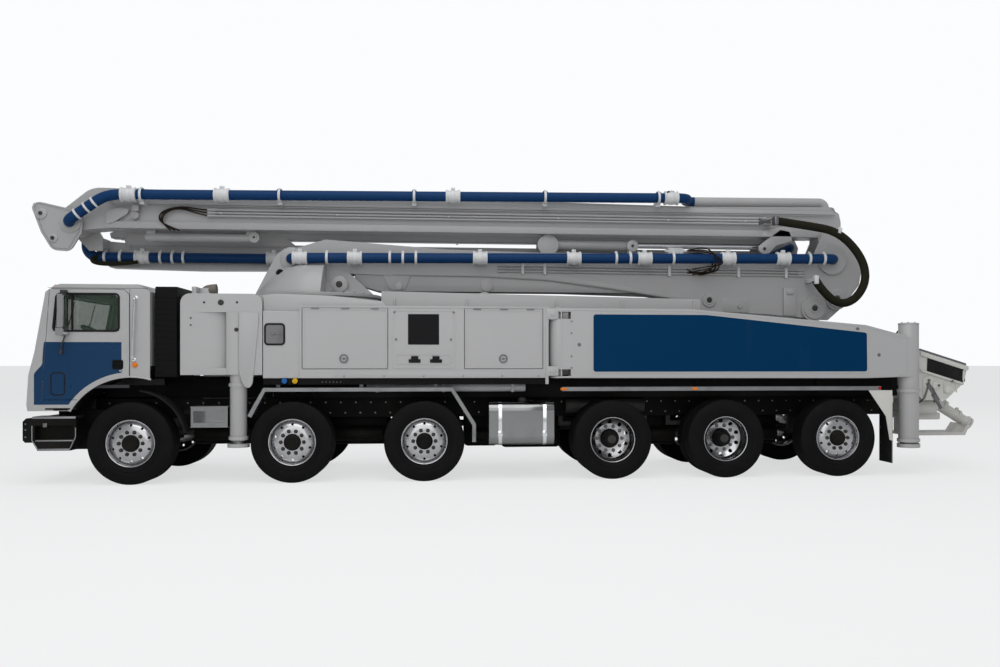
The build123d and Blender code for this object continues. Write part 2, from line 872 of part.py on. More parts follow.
# ---------------------------------------------------------------- rear outriggers
rear_jack_leg = 103
rear_jack_bore = rear_jack_leg + running_gap
arm_outline = (
    (arm_hinge_x, 1318),
    (arm_hinge_x, 2222),
    (2016, 2220),
    (4418, 2020),
    (rear_jack_x, 1850),
    (rear_jack_x, 1330),
    (4418, 1310),
)
for side, hand in sides:
    with BuildPart() as rear_arm:
        outline_plate(arm_outline, side * (half_width - arm_thickness), side * half_width)
        post(arm_hinge_x, side * arm_y, arm_thickness / 2, 1318, 2222)
        for low, high in lug_heights:
            post(arm_hinge_x, side * arm_y, 190, low - beam_gap, high + beam_gap, mode=Mode.SUBTRACT)
        post(arm_hinge_x, side * arm_y, arm_pin_radius + running_gap, 1300, 2230, mode=Mode.SUBTRACT)
        post(rear_jack_x, side * rear_jack_y, rear_jack_radius, 437, 2036)
        post(rear_jack_x, side * rear_jack_y, rear_jack_bore, 436, 1750, mode=Mode.SUBTRACT)
    finish(rear_arm, f"rear_arm_{hand}")
    with BuildPart() as rear_jack:
        post(rear_jack_x, side * rear_jack_y, rear_jack_leg, rear_jack_foot, 1730)
        post(rear_jack_x, side * rear_jack_y, 150, rear_jack_foot, rear_jack_foot + 50)
    finish(rear_jack, f"rear_jack_{hand}")

# ---------------------------------------------------------------- turret
cheek_inside = section_1_half + side_gap
cheek_outside = cheek_inside + 30
turret_radius = 850
lift_pin_radius = 40
with BuildPart() as turret:
    post(slew_x, 0, turret_radius, turret_bottom, turret_bottom + 45)
    cheek = (
        (-3760, turret_bottom + 20),
        (-3480, 2960),
        (-3360, 3070),
        (-3170, 3070),
        (-3060, 2960),
        (-2480, 2740),
        (-2120, turret_bottom + 20),
    )
    for side, _ in sides:
        outline_plate(cheek, side * cheek_inside, side * cheek_outside)
        # outer shells of the hump
        outline_plate(
            ((-3640, turret_bottom + 20), (-3440, 2640), (-2700, 2600), (-2300, turret_bottom + 20)),
            side * (cheek_outside - 1),
            side * 285,
        )
    hump = (
        (-3740, turret_bottom + 20),
        (-3560, 2700),
        (-2900, 2560),
        (-2700, 2540),
        (-2200, turret_bottom + 20),
    )
    outline_plate(hump, -cheek_inside - 1, cheek_inside + 1)
    cross_bar(*pin_a, boom_pin_radius, -cheek_outside, cheek_outside)
    cross_bar(*lift_pin, lift_pin_radius, -cheek_outside, cheek_outside)
finish(turret, "turret")

# ---------------------------------------------------------------- boom section 1
core_end = 4150
ear_inside = section_2_half + side_gap
with BuildPart() as boom_1:
    section_1_outline = (
        (pin_a[0], pin_a[1] - 170),
        (pin_a[0] - 120, pin_a[1] - 100),
        (pin_a[0] - 120, pin_a[1] + 100),
        (-2813, 3206),
        (-1181, 3089),
        (100, 3060),
        (core_end, 3060),
        (core_end, 2150),
        (3400, 2215),
        (2300, 2262),
        (2200, 2400),
        (1140, 2560),
        (280, 2670),
        (-650, 2715),
        (-1934, 2725),
    )
    outline_plate(section_1_outline, -section_1_half, section_1_half)
    cross_bar(*pin_a, 170, -section_1_half, section_1_half)
    # ears round the knuckle
    ear = (
        (core_end - 30, 2135),
        (4330, 2130),
        (4560, 2330),
        (4800, 2640),
        (4870, 3045),
        (4700, 3300),
        (4430, 3440),
        (4250, 3380),
        (core_end - 30, 3060),
    )
    for side, _ in sides:
        outline_plate(ear, side * ear_inside, side * section_1_half)
        cross_bar(4112, 2300, 190, side * (section_1_half - 5), side * 245)
        cross_bar(4448, 2440, 160, side * (section_1_half - 5), side * 245)
        cross_bar(*pin_b, 210, side * (section_1_half - 5), side * 245)
    cross_bar(*pin_b, boom_pin_radius, -section_1_half, section_1_half)
    # channel for the lifting cylinder
    channel = ((-400, 2000), (-400, 2705), (2800, 2625), (2800, 2000))
    outline_plate(channel, -100, 100, mode=Mode.SUBTRACT)
    # foot and barrel of the folding cylinder
    block(fold_barrel[0] - 90, fold_barrel[0] + 60, -70, 70, 3050, fold_z + 60)
    block(fold_barrel[1] - 90, fold_barrel[1], -70, 70, 3050, fold_z)
    rod_in_side_view((fold_barrel[0], fold_z), (fold_barrel[1], fold_z), fold_barrel_radius)
    rod_in_side_view(
        (fold_barrel[0] + 80, fold_z),
        (fold_barrel[1] + 1, fold_z),
        fold_rod_radius + running_gap,
        mode=Mode.SUBTRACT,
    )
    cross_bar(*pin_a, boom_pin_bore, -section_1_half - 1, section_1_half + 1, mode=Mode.SUBTRACT)
finish(boom_1, "boom_1")

with BuildPart() as fold_rod:
    rod_in_side_view((700, fold_z), (fold_eye_x, fold_z), fold_rod_radius)
    cross_bar(fold_eye_x, fold_z, 70, -45, 45)
finish(fold_rod, "fold_rod")

# ---------------------------------------------------------------- lifting cylinder
lift_length = hypot(lift_eye[0] - lift_pin[0], lift_eye[1] - lift_pin[1])
with BuildPart() as lift_rod:
    rod_in_side_view(lift_pin, along(lift_pin, lift_eye, lift_barrel_start + 1250), lift_rod_radius)
    cross_bar(*lift_pin, 68, -60, 60)
    cross_bar(*lift_pin, lift_pin_radius + running_gap, -61, 61, mode=Mode.SUBTRACT)
finish(lift_rod, "lift_rod")
with BuildPart() as lift_barrel:
    barrel_start = along(lift_pin, lift_eye, lift_barrel_start)
    rod_in_side_view(barrel_start, lift_eye, lift_barrel_radius)
    cross_bar(*lift_eye, 85, -80, 80)
    rod_in_side_view(
        along(lift_pin, lift_eye, lift_barrel_start - 1),
        along(lift_pin, lift_eye, lift_barrel_start + 1400),
        lift_rod_radius + running_gap,
        mode=Mode.SUBTRACT,
    )
finish(lift_barrel, "lift_barrel")

# ---------------------------------------------------------------- boom section 2
with BuildPart() as boom_2:
    section_2_outline = (
        (-6300, 3440),
        (-6236, 3597),
        (-5903, 3871),
        (2443, 3746),
        (4489, 3773),
        (4540, 3560),
        (pin_b[0] + 160, pin_b[1]),
        (pin_b[0] - 160, pin_b[1]),
        (4200, 3324),
        (-5750, 3324),
        (-6000, 3300),
    )
    outline_plate(section_2_outline, -section_2_half, section_2_half)
    cross_bar(*pin_b, 160, -section_2_half, section_2_half)
    cross_bar(*pin_c, 165, -section_2_half, section_2_half)
    # folding cylinder of section 3, under the front half
    rod_in_side_view((-5250, 3235), (-3809, 3235), 62)
    # arm that holds the hoses
    arm_x = hose_route[0][0]
    block(arm_x - 30, arm_x + 30, -section_2_half + 1, hose_y + hose_radius + 5, 3480, 3535)
    block(-3900, -3780, -50, 50, 3200, 3330)
    block(-5230, -5110, -50, 50, 3200, 3330)
    cross_bar(*pin_b, boom_pin_bore, -section_2_half - 1, section_2_half + 1, mode=Mode.SUBTRACT)
    cross_bar(*pin_c, boom_pin_bore, -section_2_half - 1, section_2_half + 1, mode=Mode.SUBTRACT)
finish(boom_2, "boom_2")

# ---------------------------------------------------------------- boom section 3
section_3_end = pin_d[0] - 150
with BuildPart() as boom_3:
    section_3_outline = (
        (-6060, 3240),
        (-5600, 3200),
        (section_3_end, 3195),
        (section_3_end, 2900),
        (-4650, 2834),
        (-5880, 2860),
        (-6060, 3060),
    )
    outline_plate(section_3_outline, section_3_near, section_3_far)
    # ears round pin D
    ear = (
        (section_3_end - 250, 3195),
        (section_3_end - 250, 2905),
        (section_3_end, 2900),
        (pin_d[0] + 90, pin_d[1] - 225),
        (pin_d[0] + 140, pin_d[1]),
        (pin_d[0] + 80, pin_d[1] + 125),
        (pin_d[0] - 100, pin_d[1] + 130),
    )
    outline_plate(ear, section_3_near, section_3_near + 30)
    outline_plate(ear, section_3_far - 30, section_3_far)
    cross_bar(*pin_d, tip_pin_radius, section_3_near, section_3_far)
    # head: link to pin C
    head_inside = section_2_half + side_gap
    cross_bar(*pin_c, 170, head_inside, head_inside + 35)
    head_link = ((-6315, 3340), (-6060, 3060), (-5880, 3060), (-5880, 3240), (-6000, 3460))
    outline_plate(head_link, head_inside, head_inside + 35)
    block(-6040, -5880, head_inside, section_3_near + 20, 3100, 3235)
    near_head = 215
    head_plate = (
        (-6650, 3607),
        (-6560, 3660),
        (-6120, 3560),
        (-5990, 3460),
        (-6000, 3250),
        (-6150, 3000),
        (-6378, 3014),
        (-6520, 3250),
    )
    outline_plate(head_plate, -near_head - 35, -near_head)
    cross_bar(*pin_c, boom_pin_radius, -near_head - 35, head_inside + 35)
finish(boom_3, "boom_3")

# ---------------------------------------------------------------- boom section 4
tip_inside = section_3_near + 30 + side_gap
tip_outside = section_3_far - 30 - side_gap
with BuildPart() as boom_4:
    section_4_outline = (
        (pin_d[0] + 20, pin_d[1] + 125),
        (pin_d[0] - 350, pin_d[1] + 255),
        (-5700, 3430),
        (-5900, 3350),
        (-5880, 3275),
        (pin_d[0] - 100, pin_d[1] + 30),
    )
    outline_plate(section_4_outline, tip_inside, tip_outside)
    cross_bar(*pin_d, 130, tip_inside, tip_outside)
    cross_bar(*pin_d, tip_pin_radius + running_gap, tip_inside - 1, tip_outside + 1, mode=Mode.SUBTRACT)
finish(boom_4, "boom_4")

# ---------------------------------------------------------------- hoses from section 1 to section 2
with BuildPart() as hose_bundle:
    tube_along([(x, hose_y, z) for x, z in hose_route], hose_bends, hose_radius)
    clip_x, clip_z = hose_route[-1]
    block(clip_x - 30, clip_x + 30, hose_y, -section_1_half - fit_gap, clip_z - 30, clip_z + 30)
finish(hose_bundle, "hose_bundle")

# ---------------------------------------------------------------- delivery pipes
with BuildPart() as pipe_1:
    run = (
        (pin_a[0], -cheek_outside - side_gap, pin_a[1]),
        (pin_a[0], -pipe_y, pin_a[1]),
        (pin_b[0], -pipe_y, pin_b[1]),
        (pin_b[0], -245 - fit_gap, pin_b[1]),
    )
    tube_along(run, (108, 108), pipe_radius)
    for x in (-2400, -700, 600, 1600, 2800, 3600):
        z = pin_a[1] + (x - pin_a[0]) * (pin_b[1] - pin_a[1]) / (pin_b[0] - pin_a[0])
        block(x - 30, x + 30, -pipe_y + 20, -section_1_half - fit_gap, z - 35, z + 35)
        rod_in_side_view((x - collar_length / 2, z), (x + collar_length / 2, z), collar_radius, y=-pipe_y)
finish(pipe_1, "pipe_1")

with BuildPart() as pipe_2:
    low = (-5650, 3745)
    high = (2250, 3830)
    run = (
        (pin_c[0], -near_head - 35 - 6, pin_c[1]),
        (pin_c[0], -pipe_y, pin_c[1]),
        (low[0], -pipe_y, low[1]),
        (high[0], -pipe_y, high[1]),
        (high[0], 50, 3850),
        (pin_b[0], 50, 3865),
        (pin_b[0], 50, 3774),
    )
    tube_along(run, (94, 500, 180, 180, 85), pipe_radius)
    for x in (-5200, -3400, -1600, 200, 1800):
        z = low[1] + (x - low[0]) * (high[1] - low[1]) / (high[0] - low[0])
        block(x - 30, x + 30, -pipe_y + 20, -section_2_half - fit_gap, z - 120, z - 50)
        rod_in_side_view((x - collar_length / 2, z), (x + collar_length / 2, z), collar_radius, y=-pipe_y)
finish(pipe_2, "pipe_2")

with BuildPart() as pipe_3:
    run = (
        (pin_c[0], head_inside + 35 + fit_gap, pin_c[1]),
        (pin_c[0], far_pipe_y, pin_c[1]),
        (pin_c[0], far_pipe_y, 2990),
        (pin_d[0] - 500, far_pipe_y, 3000),
        (pin_d[0], far_pipe_y, pin_d[1]),
        (pin_d[0], section_3_near - fit_gap, pin_d[1]),
    )
    tube_along(run, (105, 150, 500, 95), pipe_radius)
    for x in (-5400, -3600, -1500, 600, 2700):
        block(x - 30, x + 30, far_pipe_y + 20, section_3_near - fit_gap, 2960, 3025)
        start = (x - collar_length / 2, 2994)
        rod_in_side_view(start, (x + collar_length / 2, 2994), collar_radius, y=far_pipe_y)
finish(pipe_3, "pipe_3")

with BuildPart() as pipe_4:
    run = (
        (pin_d[0], section_3_far + 6, pin_d[1]),
        (pin_d[0], tip_pipe_y, pin_d[1]),
        (pin_d[0] - 450, tip_pipe_y, 3385),
        (-5850, tip_pipe_y, 3360),
    )
    tube_along(run, (118, 500), pipe_radius)
    for x in (-5400, -2500, 400, 3000):
        block(x - 30, x + 30, tip_outside + fit_gap, tip_pipe_y - 20, 3340, 3400)
        start = (x - collar_length / 2, 3372)
        rod_in_side_view(start, (x + collar_length / 2, 3372), collar_radius, y=tip_pipe_y)
finish(pipe_4, "pipe_4")

# ---------------------------------------------------------------- hopper, grate and outlet
hopper_outline = (
    (hopper_front, 1690),
    (6102, 1469),
    (6043, 1231),
    (5778, 994),
    (hopper_front + 60, 994),
    (hopper_front, 1060),
)
with BuildPart() as hopper:
    outline_plate(hopper_outline, -hopper_half_width, hopper_half_width)
    inside = (
        (hopper_front + hopper_wall, 1720),
        (6102 - hopper_wall, 1520),
        (6043 - hopper_wall, 1240),
        (5770, 994 + hopper_wall),
        (hopper_front + 70, 994 + hopper_wall),
        (hopper_front + hopper_wall, 1070),
    )
    inner_half_width = hopper_half_width - hopper_wall
    outline_plate(inside, -inner_half_width, inner_half_width, mode=Mode.SUBTRACT)
    # brackets to the rails
    for side, _ in sides:
        block(rail_rear + fit_gap, hopper_front + 10, side * (rail_y - 80), side * (rail_y - 10), 1062, 1180)
finish(hopper, "hopper")
rim_slope = (1469 - 1690) / (6102 - hopper_front)
grate_front = hopper_front + 20
grate_rear = 6080


def on_rim(x):
    """The height of the grate's underside on the hopper's rim at an x."""
    return 1690 + fit_gap + (x - hopper_front) * rim_slope


with BuildPart() as hopper_grate:
    slab = (
        (grate_front, on_rim(grate_front)),
        (grate_front, on_rim(grate_front) + 30),
        (grate_rear, on_rim(grate_rear) + 30),
        (grate_rear, on_rim(grate_rear)),
    )
    outline_plate(slab, -hopper_half_width, hopper_half_width)
    bars = 12
    pitch = 2 * (hopper_half_width - 30) / bars
    for n in range(bars):
        y = -hopper_half_width + 30 + pitch * (n + 0.5)
        for front, rear in ((grate_front + 60, 5700), (5730, grate_rear - 40)):
            block(front, rear, y - pitch / 2 + 8, y + pitch / 2 - 8, 1300, 1800, mode=Mode.SUBTRACT)
finish(hopper_grate, "hopper_grate")

with BuildPart() as outlet_pipe:
    # it leaves the middle of the hopper's sloping rear wall at right angles
    wall_low, wall_high = hopper_outline[3], hopper_outline[2]
    wall_length = hypot(wall_high[0] - wall_low[0], wall_high[1] - wall_low[1])
    away = ((wall_high[1] - wall_low[1]) / wall_length, (wall_low[0] - wall_high[0]) / wall_length)
    seat = ((wall_low[0] + wall_high[0]) / 2, (wall_low[1] + wall_high[1]) / 2)
    outlet_start = (seat[0] + away[0] * fit_gap, seat[1] + away[1] * fit_gap)
    outlet_bend = (seat[0] + away[0] * 283, seat[1] + away[1] * 283)
    outlet_end = (6600, 600)
    run = [(x, 0, z) for x, z in (outlet_start, outlet_bend, outlet_end)]
    tube_along(run, (250,), 78)
    # coupling flange and bore
    rod_in_side_view(along(outlet_end, outlet_bend, 30), outlet_end, 95)
    bore = (along(outlet_end, outlet_bend, 100), along(outlet_end, outlet_bend, -1))
    rod_in_side_view(*bore, outlet_bore_radius, mode=Mode.SUBTRACT)
finish(outlet_pipe, "outlet_pipe")
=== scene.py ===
"""Finishes and fittings of a truck-mounted concrete pump, laid over its solid model."""

import math

import bmesh
import bpy
from bpy.props import FloatProperty, FloatVectorProperty, IntProperty, PointerProperty
from mathutils import Matrix, Vector


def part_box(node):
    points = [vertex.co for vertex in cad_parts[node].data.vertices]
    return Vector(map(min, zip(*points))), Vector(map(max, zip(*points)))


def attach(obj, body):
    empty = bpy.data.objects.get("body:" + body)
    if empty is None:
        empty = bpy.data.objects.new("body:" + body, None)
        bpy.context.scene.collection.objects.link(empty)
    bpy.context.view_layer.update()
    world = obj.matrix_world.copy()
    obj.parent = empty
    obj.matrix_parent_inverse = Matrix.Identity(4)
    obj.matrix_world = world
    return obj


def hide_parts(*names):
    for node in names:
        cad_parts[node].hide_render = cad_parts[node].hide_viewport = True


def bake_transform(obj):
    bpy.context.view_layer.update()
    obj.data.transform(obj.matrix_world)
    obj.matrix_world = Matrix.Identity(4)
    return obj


bl_info = {
    "name": "Concrete pump truck",
    "version": (1, 0, 0),
    "blender": (4, 5, 0),
    "location": "3D View > Sidebar > Pump truck",
    "description": "Finishes and fittings of a truck-mounted concrete pump",
    "category": "Object",
}

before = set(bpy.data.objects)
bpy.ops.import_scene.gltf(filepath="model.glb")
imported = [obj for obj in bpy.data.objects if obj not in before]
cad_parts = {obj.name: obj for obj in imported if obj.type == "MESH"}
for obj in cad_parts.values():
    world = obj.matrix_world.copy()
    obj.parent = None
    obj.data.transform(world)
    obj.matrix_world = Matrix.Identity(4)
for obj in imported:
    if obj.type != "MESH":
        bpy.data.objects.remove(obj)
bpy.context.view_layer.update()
HANDS = ("left", "right")


# ---- places that come from the solid model
def middle(name):
    """Centre of a solid node."""
    low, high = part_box(name)
    return (low + high) / 2


HALF_WIDTH = -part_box("toolboxes")[0].y
CAB_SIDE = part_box("cab_shell")[1].y
WHEEL_HEIGHT = middle("wheel_2_left").z
TYRE_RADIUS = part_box("wheel_2_left")[1].z - WHEEL_HEIGHT
FRONT_ARCH = Vector((middle("wheel_1_left").x, 0, WHEEL_HEIGHT))
ARCH_RADIUS = 0.83
PIPE_SIDE = -0.36
PIN_A = (-3.263, 2.93)
PIN_B = (4.38, 3.000)
PIN_C = (-6.149, 3.389)
BOOM_SIDE = 0.2
FAR_PIPE_SIDE = 0.345
TIP_PIPE_SIDE = 0.84
# body, side, start and end of the straight run in side view, couplings, narrow bands
PIPE_RUNS = {
    "pipe_1": (
        "boom_1", PIPE_SIDE, PIN_A, PIN_B, (-3.13, -2.4, -0.7, 0.6, 1.6, 2.8, 3.6),
        (-2.772, -1.928, -1.752, -1.576, 1.196, 1.395, 2.008, 3.986, 4.2),
    ),
    "pipe_2": (
        "boom_2", PIPE_SIDE, (-5.65, 3.745), (2.25, 3.83), (-5.36, -4.156, -1.072, 1.98),
        (-5.2, -3.4, -1.6, 0.2, 1.8),
    ),
    "pipe_3": (
        "boom_3", FAR_PIPE_SIDE, (-5.65, 2.994), (3.0, 2.994), (-5.4, -3.6, -1.5, 0.6, 2.7),
        (-5.9, -5.693, -5.152, -4.989, -4.839),
    ),
    "pipe_4": (
        "boom_4", TIP_PIPE_SIDE, (-5.85, 3.372), (3.4, 3.372), (-5.4, -2.5, 0.4, 3.00),
        (-4.0, -1.0, 1.7),
    ),
}


# ---- shader expressions
def arrange(thing, **settings):
    """Sets several settings of one thing and returns it."""
    for key, value in settings.items():
        setattr(thing, key, value)
    return thing


class Value:
    """A shader socket that can stand in a Python expression."""

    def __init__(self, shader, output):
        self.shader = shader
        self.output = output

    def _math(self, operation, *values):
        return self.shader.node("ShaderNodeMath", {"operation": operation}, dict(enumerate(values)))

    def _operator(operation, swapped=False):
        def operate(self, *other):
            return self._math(operation, *((*other, self) if swapped else (self, *other)))

        return operate

    __add__ = __radd__ = _operator("ADD")
    __sub__ = _operator("SUBTRACT")
    __rsub__ = _operator("SUBTRACT", True)
    __mul__ = __rmul__ = _operator("MULTIPLY")
    __gt__ = _operator("GREATER_THAN")
    __lt__ = _operator("LESS_THAN")
    __abs__ = _operator("ABSOLUTE")
    __pow__ = _operator("POWER")

    def sine(self):
        """Sine of the value in radians."""
        return self._math("SINE", self)

    def ramp(self, start, end):
        """0 below start, 1 above end and smooth between."""
        settings = {"interpolation_type": "SMOOTHSTEP", "clamp": True}
        values = {"Value": self, "From Min": start, "From Max": end}
        return self.shader.node("ShaderNodeMapRange", settings, values)


class Shader:
    """A material with one Principled surface; constants are set on the surface's own sockets."""

    def __init__(self, name, color=None, **constants):
        self.material = bpy.data.materials.new(name)
        self.material.use_nodes = True
        self.tree = self.material.node_tree
        self.surface = self.tree.nodes["Principled BSDF"]
        if color is not None:
            self.surface.inputs["Base Color"].default_value = (*color, 1)
            self.material.diffuse_color = (*color, 1)
        for socket, value in constants.items():
            self.surface.inputs[socket.replace("_", " ")].default_value = value

    def node(self, kind, settings=None, values=None, output=0):
        """Adds a node, sets its settings, then its sockets, and returns one output."""
        made = arrange(self.tree.nodes.new(kind), **(settings or {}))
        for socket, value in (values or {}).items():
            self.give(made.inputs[socket], value)
        return Value(self, made.outputs[output])

    def give(self, socket, value):
        """Links or sets one socket."""
        if isinstance(value, Value):
            self.tree.links.new(value.output, socket)
        elif hasattr(value, "__len__") and len(value) == 3 and socket.type == "RGBA":
            socket.default_value = (*value, 1)
        else:
            socket.default_value = value

    def point(self):
        """Object coordinates."""
        return self.node("ShaderNodeTexCoord", output="Object")

    def axes(self, point=None):
        """The x, y and z of a point as three values."""
        split = self.tree.nodes.new("ShaderNodeSeparateXYZ")
        self.give(split.inputs[0], point or self.point())
        return [Value(self, output) for output in split.outputs]

    def noise(self, scale, detail=3, stretch=(1, 1, 1), roughness=0.5):
        """Noise from 0 to 1 on object coordinates."""
        mapping = self.node("ShaderNodeMapping", values={"Vector": self.point(), "Scale": stretch})
        values = {"Vector": mapping, "Scale": scale, "Detail": detail, "Roughness": roughness}
        return self.node("ShaderNodeTexNoise", values=values)

    def mix(self, mask, low, high):
        """A colour between two, by a mask."""
        return self.node("ShaderNodeMix", {"data_type": "RGBA"}, {0: mask, 6: low, 7: high}, 2)

    def finish(self, color, rough, height, distance, strength=1.0):
        """Sets colour, roughness and relief (in metres) of the surface and returns the shader."""
        relief = {"Height": height, "Distance": distance, "Strength": strength}
        self.give(self.surface.inputs["Base Color"], color)
        self.give(self.surface.inputs["Roughness"], rough)
        self.give(self.surface.inputs["Normal"], self.node("ShaderNodeBump", values=relief))
        return self


def scaled(color, factor, lift=0.0):
    """A colour times a factor, with a little added."""
    return [factor * channel + lift for channel in color]


def paint(name, color, gloss=0.3, dust=0.25, coat=0.35, specular=0.4):
    """Sprayed paint: faint orange peel, rain streaks and road dust towards the ground."""
    shader = Shader(name, color, Coat_Weight=coat, Coat_Roughness=0.12, Specular_IOR_Level=specular)
    height = shader.axes()[2]
    streaks = shader.noise(1.0, 4, (5.0, 5.0, 0.35))
    cloud = shader.noise(1.6, 5)
    dirt = (1 - height.ramp(0.25, 1.7)) * cloud.ramp(0.3, 0.75) * dust + streaks.ramp(0.58, 0.85) * 0.05
    soiled = [0.45 * c + 0.55 * s for c, s in zip(color, (0.3, 0.27, 0.22))]
    tone = shader.mix(cloud.ramp(0.2, 0.8) * 0.5, scaled(color, 0.965), color)
    rough = gloss + dirt * 0.5 + cloud * 0.06
    return shader.finish(shader.mix(dirt, tone, soiled), rough, shader.noise(420, 1), 0.00025, 0.35)


def two_tone_cab(name, white, blue):
    """Cab paint: white above, with a blue field on each side that follows the wheel arch."""
    shader = paint(name, white, 0.25, 0.3, 0.1, 0.25)
    x, y, z = shader.axes()
    to_arch = ((x - FRONT_ARCH.x) ** 2.0 + (z - FRONT_ARCH.z) ** 2.0) ** 0.5
    front_edge = -6.213 + (z - 1.36).ramp(0, 0.16) * 0.1 + (z - 1.51).ramp(0, 0.9) * 0.09
    field = (abs(y) > CAB_SIDE - 0.002) * (z < 1.772) * (z > 0.998) * (x < -5.175) * (x > front_edge)
    field = field * (to_arch > ARCH_RADIUS + 0.055)
    tone = shader.surface.inputs["Base Color"].links[0].from_socket
    tone = shader.mix(field, Value(shader, tone), blue)
    tunnel = (abs(y) < CAB_SIDE - 0.008) * (z < 1.476) * (x > -6.06)
    shader.give(shader.surface.inputs["Base Color"], shader.mix(tunnel, tone, (0.008, 0.008, 0.008)))
    return shader


def bare_metal(name, color, roughness, grain=(1, 1, 1)):
    """Polished or satin metal with fine grain and a little dull film."""
    shader = Shader(name, color, Metallic=1.0)
    film = shader.noise(3.5, 5)
    lines = shader.noise(60, 2, grain)
    tone = shader.mix(film.ramp(0.45, 0.8) * 0.35, color, scaled(color, 0.6))
    return shader.finish(tone, roughness + film.ramp(0.4, 0.9) * 0.18 + lines * 0.06, lines, 0.0002, 0.3)


def tread_plate(name, color):
    """Aluminium chequer sheet: short raised bars, alternately turned, on a satin sheet."""
    shader = Shader(name, color, Metallic=1.0)
    x, y, z = shader.axes()
    pitch = 0.028
    across = (x + y + z) * (math.pi / pitch)
    along = (x - y - z) * (math.pi / pitch)
    bars = (abs(across.sine()) * abs(along.sine())).ramp(0.55, 0.75)
    film = shader.noise(4, 5)
    tone = shader.mix(film.ramp(0.4, 0.8) * 0.5 + bars * 0.25, color, scaled(color, 0.5))
    return shader.finish(tone, 0.34 + film * 0.2 - bars * 0.12, bars, 0.0018)


def rubber(name, color, dust=0.3):
    """Tyre and seal rubber, greyed by dust."""
    shader = Shader(name, color, Specular_IOR_Level=0.15)
    cloud = shader.noise(5, 6)
    tone = shader.mix(cloud.ramp(0.35, 0.85) * dust, color, (0.09, 0.085, 0.075))
    return shader.finish(tone, 0.62 + cloud * 0.22, shader.noise(300, 2), 0.0004, 0.4)


def plastic(name, color, roughness=0.45):
    """Moulded plastic or a lamp lens with a fine grain."""
    shader = Shader(name, color, Specular_IOR_Level=0.12)
    grain = shader.noise(500, 2)
    tone = shader.mix(shader.noise(6, 3) * 0.25, color, scaled(color, 0.8, 0.002))
    return shader.finish(tone, roughness + grain * 0.1, grain, 0.0002, 0.4)


def cast(name, color, dust=0.4):
    """Rough cast or forged iron under thin paint."""
    shader = Shader(name, color, Metallic=0.1)
    pits = shader.noise(90, 4)
    cloud = shader.noise(4, 5)
    tone = shader.mix(cloud.ramp(0.35, 0.8) * dust, color, (0.2, 0.17, 0.13))
    return shader.finish(tone, 0.5 + cloud * 0.25, pits, 0.0008, 0.5)


def tinted_glass(name, color):
    """Cab glass with a green tint that lets the seats show."""
    shader = Shader(name, color, Roughness=0.04, Specular_IOR_Level=0.6, Alpha=0.42, Coat_Weight=0.4)
    smear = shader.noise(7, 4)
    shader.give(shader.surface.inputs["Base Color"], shader.mix(smear * 0.4, color, scaled(color, 1.4, 0.01)))
    shader.material.surface_render_method = "BLENDED"
    return shader


def hose_cover(name, color):
    """Hose with a spiral guard and scuffed olive cloth under it."""
    shader = Shader(name, color, Specular_IOR_Level=0.12)
    x, y, z = shader.axes()
    turns = ((x + y * 0.3 + z) * 330).sine()
    fluff = shader.noise(40, 6)
    tone = shader.mix(turns.ramp(0.2, 0.7) * 0.6 + fluff * 0.3, color, (0.035, 0.034, 0.016))
    return shader.finish(tone, 0.6 + fluff * 0.25, turns * 0.5 + fluff, 0.003)


def vinyl(name, color):
    """Seat cover: fine leather grain."""
    shader = Shader(name, color, Sheen_Weight=0.15)
    grain = shader.node("ShaderNodeTexVoronoi", values={"Vector": shader.point(), "Scale": 260.0})
    tone = shader.mix(shader.noise(5, 3) * 0.5, color, scaled(color, 1.25))
    return shader.finish(tone, 0.5 + grain * 0.2, grain, 0.0006, 0.6)


def floor_finish(name, color):
    """Pale matt studio floor."""
    shader = Shader(name, color)
    cloud = shader.noise(0.15, 3)
    shader.give(shader.surface.inputs["Base Color"], shader.mix(cloud * 0.2, color, scaled(color, 0.985)))
    shader.give(shader.surface.inputs["Roughness"], 0.85 + cloud * 0.05)
    to_camera = shader.node("ShaderNodeLightPath", output="Is Camera Ray")
    glow = shader.node("ShaderNodeEmission", values={"Color": (0.93, 0.935, 0.94)}, output="Emission")
    output = shader.tree.nodes["Material Output"].inputs["Surface"]
    lit = Value(shader, output.links[0].from_socket)
    share = {0: to_camera * 0.7, 1: lit, 2: glow}
    shader.give(output, shader.node("ShaderNodeMixShader", values=share, output=0))
    return shader


def tint(name, description, *default):
    """A colour setting."""
    return FloatVectorProperty(name=name, description=description, subtype="COLOR", default=default)


def length(name, description, default):
    """A setting in metres."""
    return FloatProperty(name=name, description=description, default=default, unit="LENGTH")


class PaintSettings(bpy.types.PropertyGroup):
    """Colours of the truck."""

    white: tint("Body white", "Cab and body paint", 0.43, 0.43, 0.432)
    boom_white: tint("Boom white", "Boom and turret paint", 0.39, 0.39, 0.393)
    panel_blue: tint("Panel blue", "Fields on cab and arms", 0.0, 0.033, 0.098)
    pipe_blue: tint("Pipe blue", "Delivery pipes", 0.004, 0.036, 0.12)
    cream: tint("Hopper cream", "Hopper and arm ends", 0.62, 0.615, 0.585)
    # this black is also the painted shade on the deck's lower faces and the sheets inside the frame
    black: tint("Frame black", "Chassis, bumper and intake", 0.0035, 0.0035, 0.0035)


